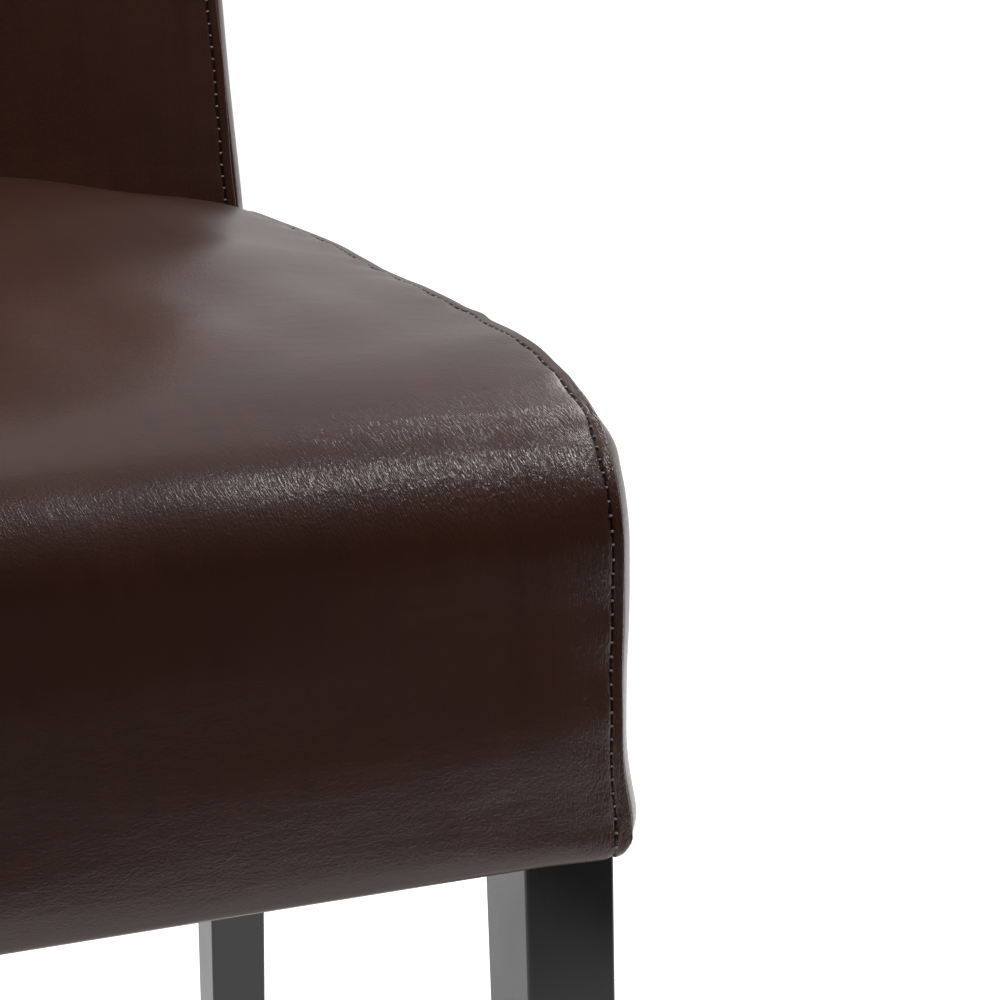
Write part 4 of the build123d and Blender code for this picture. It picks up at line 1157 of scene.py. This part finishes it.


# Stitching: thread sunk in the seam, with a knot where it enters the leather, coloured light as a painted
# highlight

def tube(centres, out, radius):
    """Vertices and faces of a short closed thread through some points."""
    ahead = unit(np.gradient(np.array(centres), axis=0))
    across = unit(np.cross(ahead, out))
    upward = np.cross(across, ahead)
    sizes = np.full(len(centres), radius)
    sizes[[0, -1]] *= THREAD_END
    angles = 2 * math.pi * np.arange(THREAD_SIDES) / THREAD_SIDES
    vertices = []
    for number, centre in enumerate(centres):
        ring = np.outer(np.cos(angles), across[number]) + np.outer(np.sin(angles), upward[number])
        vertices.extend(centre + sizes[number] * ring)
    faces = []
    for ring in range(len(centres) - 1):
        for step in range(THREAD_SIDES):
            first = ring * THREAD_SIDES + step
            second = ring * THREAD_SIDES + (step + 1) % THREAD_SIDES
            faces.append((first, second, second + THREAD_SIDES, first + THREAD_SIDES))
    faces.append(tuple(range(THREAD_SIDES))[::-1])
    faces.append(tuple(range((len(centres) - 1) * THREAD_SIDES, len(centres) * THREAD_SIDES)))
    return vertices, faces


def stitching(name, line, out, seed):
    """Row of stitches along a line of points, each with its outward direction, in millimetres."""
    travelled = path_length(*line.T)
    draw = np.random.RandomState(seed)
    vertices = []
    faces = []
    knot_highlight_faces = []

    def at(place):
        spot = np.array([np.interp(place, travelled, line[:, axis]) for axis in range(3)])
        way = np.array([np.interp(place, travelled, out[:, axis]) for axis in range(3)])
        return spot, unit(way)

    # knot 1 gives a face the pale material, a painted highlight; 0 keeps the dark thread
    def put(centres, way, radius, knot):
        new_vertices, new_faces = tube(centres, way, radius)
        start = len(vertices)
        vertices.extend(new_vertices)
        for face in new_faces:
            faces.append(tuple(start + corner for corner in face))
            knot_highlight_faces.append(knot)

    for place in np.arange(STITCH_START, travelled[-1] - STITCH_PITCH, STITCH_PITCH):
        start = place + draw.uniform(-STITCH_JITTER, STITCH_JITTER)
        thread = []
        for share, sink in THREAD_ARCH:
            spot, way = at(start + share * STITCH_PITCH)
            thread.append(spot + way * sink)
        put(thread, way, THREAD_RADIUS, 0)
        spot, way = at(start)
        ahead = unit(at(start + 0.5)[0] - spot)
        slant = unit(np.cross(way, ahead)) + draw.uniform(-KNOT_LEAN, KNOT_LEAN) * ahead
        rise = KNOT_RISE + draw.uniform(-0.1, 0.15)
        loop = [spot + slant * step + way * (rise - KNOT_ROUNDING * step * step) for step in KNOT_STEPS]
        put(loop, way, KNOT_RADIUS, 1)
    piece = mesh_object(name, vertices, faces, dark_thread)
    # The knot loops take the pale material, a painted highlight on the dark thread
    piece.data.materials.append(knot_painted_highlight)
    piece.data.polygons.foreach_set("material_index", knot_highlight_faces)
    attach(piece, "root")


def seam_line(piece, columns, side, start, end):
    """Groove of a sewn edge of a panel, with outward directions, from row start to row end."""
    sides, inward, _ = columns
    grid = vertex_values(piece.data, "co").reshape(-1, len(sides), 3) / MM
    ways = vertex_values(piece.data, "normal").reshape(-1, len(sides), 3)
    other_side = 1000 * (sides != side)
    groove = np.argmin(np.abs(inward - STITCH_INSET) + other_side)
    beside = np.argmin(np.abs(inward - STITCH_INSET - BESIDE_SEAM) + other_side)
    return grid[start:end, groove], ways[start:end, beside]


for side, label in SIDES:
    stitching(f"seat_stitching_{label}", *seam_line(seat_leather, seat_columns, side, 5, -4), 70 + side)
    stitching(f"back_stitching_{label}", *seam_line(inside_back, back_columns, side, 4, -4), 80 + side)


# Dust cover: black cloth stretched under the frame, cut out round the legs and sagging a little

def make_dust_cover():
    """Sheet under the seat, notched at the legs."""
    low, high = (np.array(corner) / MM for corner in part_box("dust_cover"))
    front_notch = FRONT_LEG_INNER - LEG_CLEARANCE
    rear_notch = REAR_LEG_INNER - LEG_CLEARANCE
    front_step = FRONT_Y + FRONT_LEG_REAR + LEG_CLEARANCE
    rear_step = FRONT_Y + back_depth(BEND_HEIGHT, -FRAME_INSET) - LEG_CLEARANCE
    inner = np.linspace(-front_notch, front_notch, 45)
    outer = np.array([rear_notch, DUST_OUTER_COLUMN, high[0]])
    xs = np.sort(np.concatenate([inner, -outer, outer]))
    ys = np.concatenate(
        [
            np.linspace(low[1], front_step, 8),
            np.linspace(front_step, rear_step, 46)[1:],
            np.linspace(rear_step, high[1], 6)[1:],
        ]
    )
    x, y = np.meshgrid(xs, ys)
    hang = (1 - (x / high[0]) ** 2) * np.clip((y - low[1]) * (high[1] - y), 0, None)
    hang = hang / hang.max()
    z = high[2] - hang * DUST_SAG * (1 + DUST_UNEVEN * waves(91, 90, 200, x, y))
    z = z - DUST_RIPPLE * hang * waves(92, 30, 70, x, y)
    middle_x = np.abs(xs[1:] + xs[:-1]) / 2
    middle_y = (ys[1:, None] + ys[:-1, None]) / 2
    at_front_leg = (middle_y < front_step) & (middle_x > front_notch)
    at_rear_leg = (middle_y > rear_step) & (middle_x > rear_notch)
    kept = ~(at_front_leg | at_rear_leg)
    faces = np.array(grid_faces(len(ys), len(xs), True))[kept.reshape(-1)]
    piece, _ = grid_object("dust_cloth", np.stack([x, y, z], axis=2), faces, matted_cloth)
    add_thickness(piece, DUST_THICKNESS, 1)
    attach(piece, "root")
    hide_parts("dust_cover")


make_dust_cover()

# Studio: a pale floor that ends in front of the chair, a white surround behind and a dark room in front
FLOOR_FRONT = -0.75
FLOOR_REAR = 9
FLOOR_HALF_WIDTH = 6
FLOOR_COLOUR = (0.86, 0.86, 0.855, 1)
WHITE = (1, 1, 1, 1)


def make_floor():
    """Pale studio floor, white to the camera except where the chair shades it."""
    material, tree, shader = new_material("studio_floor", 0.8, Base_Color=FLOOR_COLOUR, Emission_Color=WHITE)
    path = add(tree, "LightPath")
    to_camera = math_node(tree, "MULTIPLY", path.outputs["Is Camera Ray"], 0.68)
    in_mirror = math_node(tree, "MULTIPLY", path.outputs["Is Glossy Ray"], 0.8)
    tree.links.new(math_node(tree, "MAXIMUM", to_camera, in_mirror), shader.inputs["Emission Strength"])
    front = [(x, FLOOR_FRONT, 0) for x in (-FLOOR_HALF_WIDTH, FLOOR_HALF_WIDTH)]
    rear = [(x, FLOOR_REAR, 0) for x in (FLOOR_HALF_WIDTH, -FLOOR_HALF_WIDTH)]
    mesh = bpy.data.meshes.new("studio_floor")
    mesh.from_pydata(front + rear, [], [(0, 1, 2, 3)])
    mesh.materials.append(material)
    new_object("studio_floor", mesh)


make_floor()


def make_surround():
    """White surround to the camera; as a light it is bright behind the chair, less so towards the right, and
    dark in front."""
    world = bpy.data.worlds.new("studio")
    bpy.context.scene.world = world
    world.use_nodes = True
    tree = world.node_tree
    background = tree.nodes["Background"]
    direction = add(tree, "TexCoord").outputs["Generated"]
    parts = add(tree, "SeparateXYZ", {"Vector": direction})
    behind = spread(tree, parts.outputs["Y"], -0.06, 0.22, 0.02, 0.74)
    less_on_right = spread(tree, parts.outputs["X"], 0.25, 0.42, 1.22, 0.80)
    light = math_node(tree, "MULTIPLY", behind, less_on_right)
    path = add(tree, "LightPath")
    strength = math_node(tree, "MAXIMUM", light, path.outputs["Is Camera Ray"])
    background.inputs["Color"].default_value = WHITE
    tree.links.new(strength, background.inputs["Strength"])


make_surround()


def add_lamp(name, place, target, size, power, mirrored=True):
    """Soft rectangular lamp that faces a target; one that is not mirrored makes no highlights."""
    data = bpy.data.lights.new(name, "AREA")
    data.shape = "RECTANGLE"
    data.size, data.size_y = size
    data.energy = power
    lamp = new_object(name, data)
    lamp.visible_glossy = mirrored
    away = unit(np.array(place) - np.array(target))
    right = unit(np.cross((0, 1, 0), away))
    axes = np.stack([right, np.cross(away, right), away, place], axis=1)
    lamp.matrix_world = Matrix([*axes.tolist(), (0, 0, 0, 1)])


add_lamp("overhead_softbox", (1.60, -1.00, 2.66), (0.1, -0.25, 0.45), (0.55, 0.55), 34.0)
add_lamp("side_softbox", (1.46, 0.83, 1.13), (0.2, -0.25, 0.45), (0.4, 0.4), 5.5)
add_lamp("upper_fill", (-0.5, -0.6, 2.0), (-0.05, 0.15, 0.7), (1.1, 0.9), 5.6, mirrored=False)
add_lamp("top_softbox", (-0.40, 0.34, 2.03), (-0.1, -0.15, 0.48), (0.7, 0.5), 4.0)

# Camera, as the photo was taken
CAMERA_PLACE = (-0.40388, -1.36711, 0.79537)
CAMERA_YAW = math.radians(22.571)
CAMERA_PITCH = math.radians(14.279)
CAMERA_ROLL = math.radians(-1.092)
CAMERA_LENS = 135.72


def make_camera():
    """Camera in front of the chair on its left, looking down at the right half of the seat."""
    data = bpy.data.cameras.new("camera")
    data.lens = CAMERA_LENS
    data.sensor_width = 36.0
    data.clip_start = 0.05
    camera = new_object("camera", data)
    x, y, z = CAMERA_PLACE
    place = Matrix.Translation((x, y + FRONT_Y * MM, z))
    yaw = Matrix.Rotation(-CAMERA_YAW, 4, "Z")
    tilt = Matrix.Rotation(math.pi / 2 - CAMERA_PITCH, 4, "X")
    camera.matrix_world = place @ yaw @ tilt @ Matrix.Rotation(CAMERA_ROLL, 4, "Z")
    bpy.context.scene.camera = camera


make_camera()
bpy.context.scene.view_settings.view_transform = "Standard"
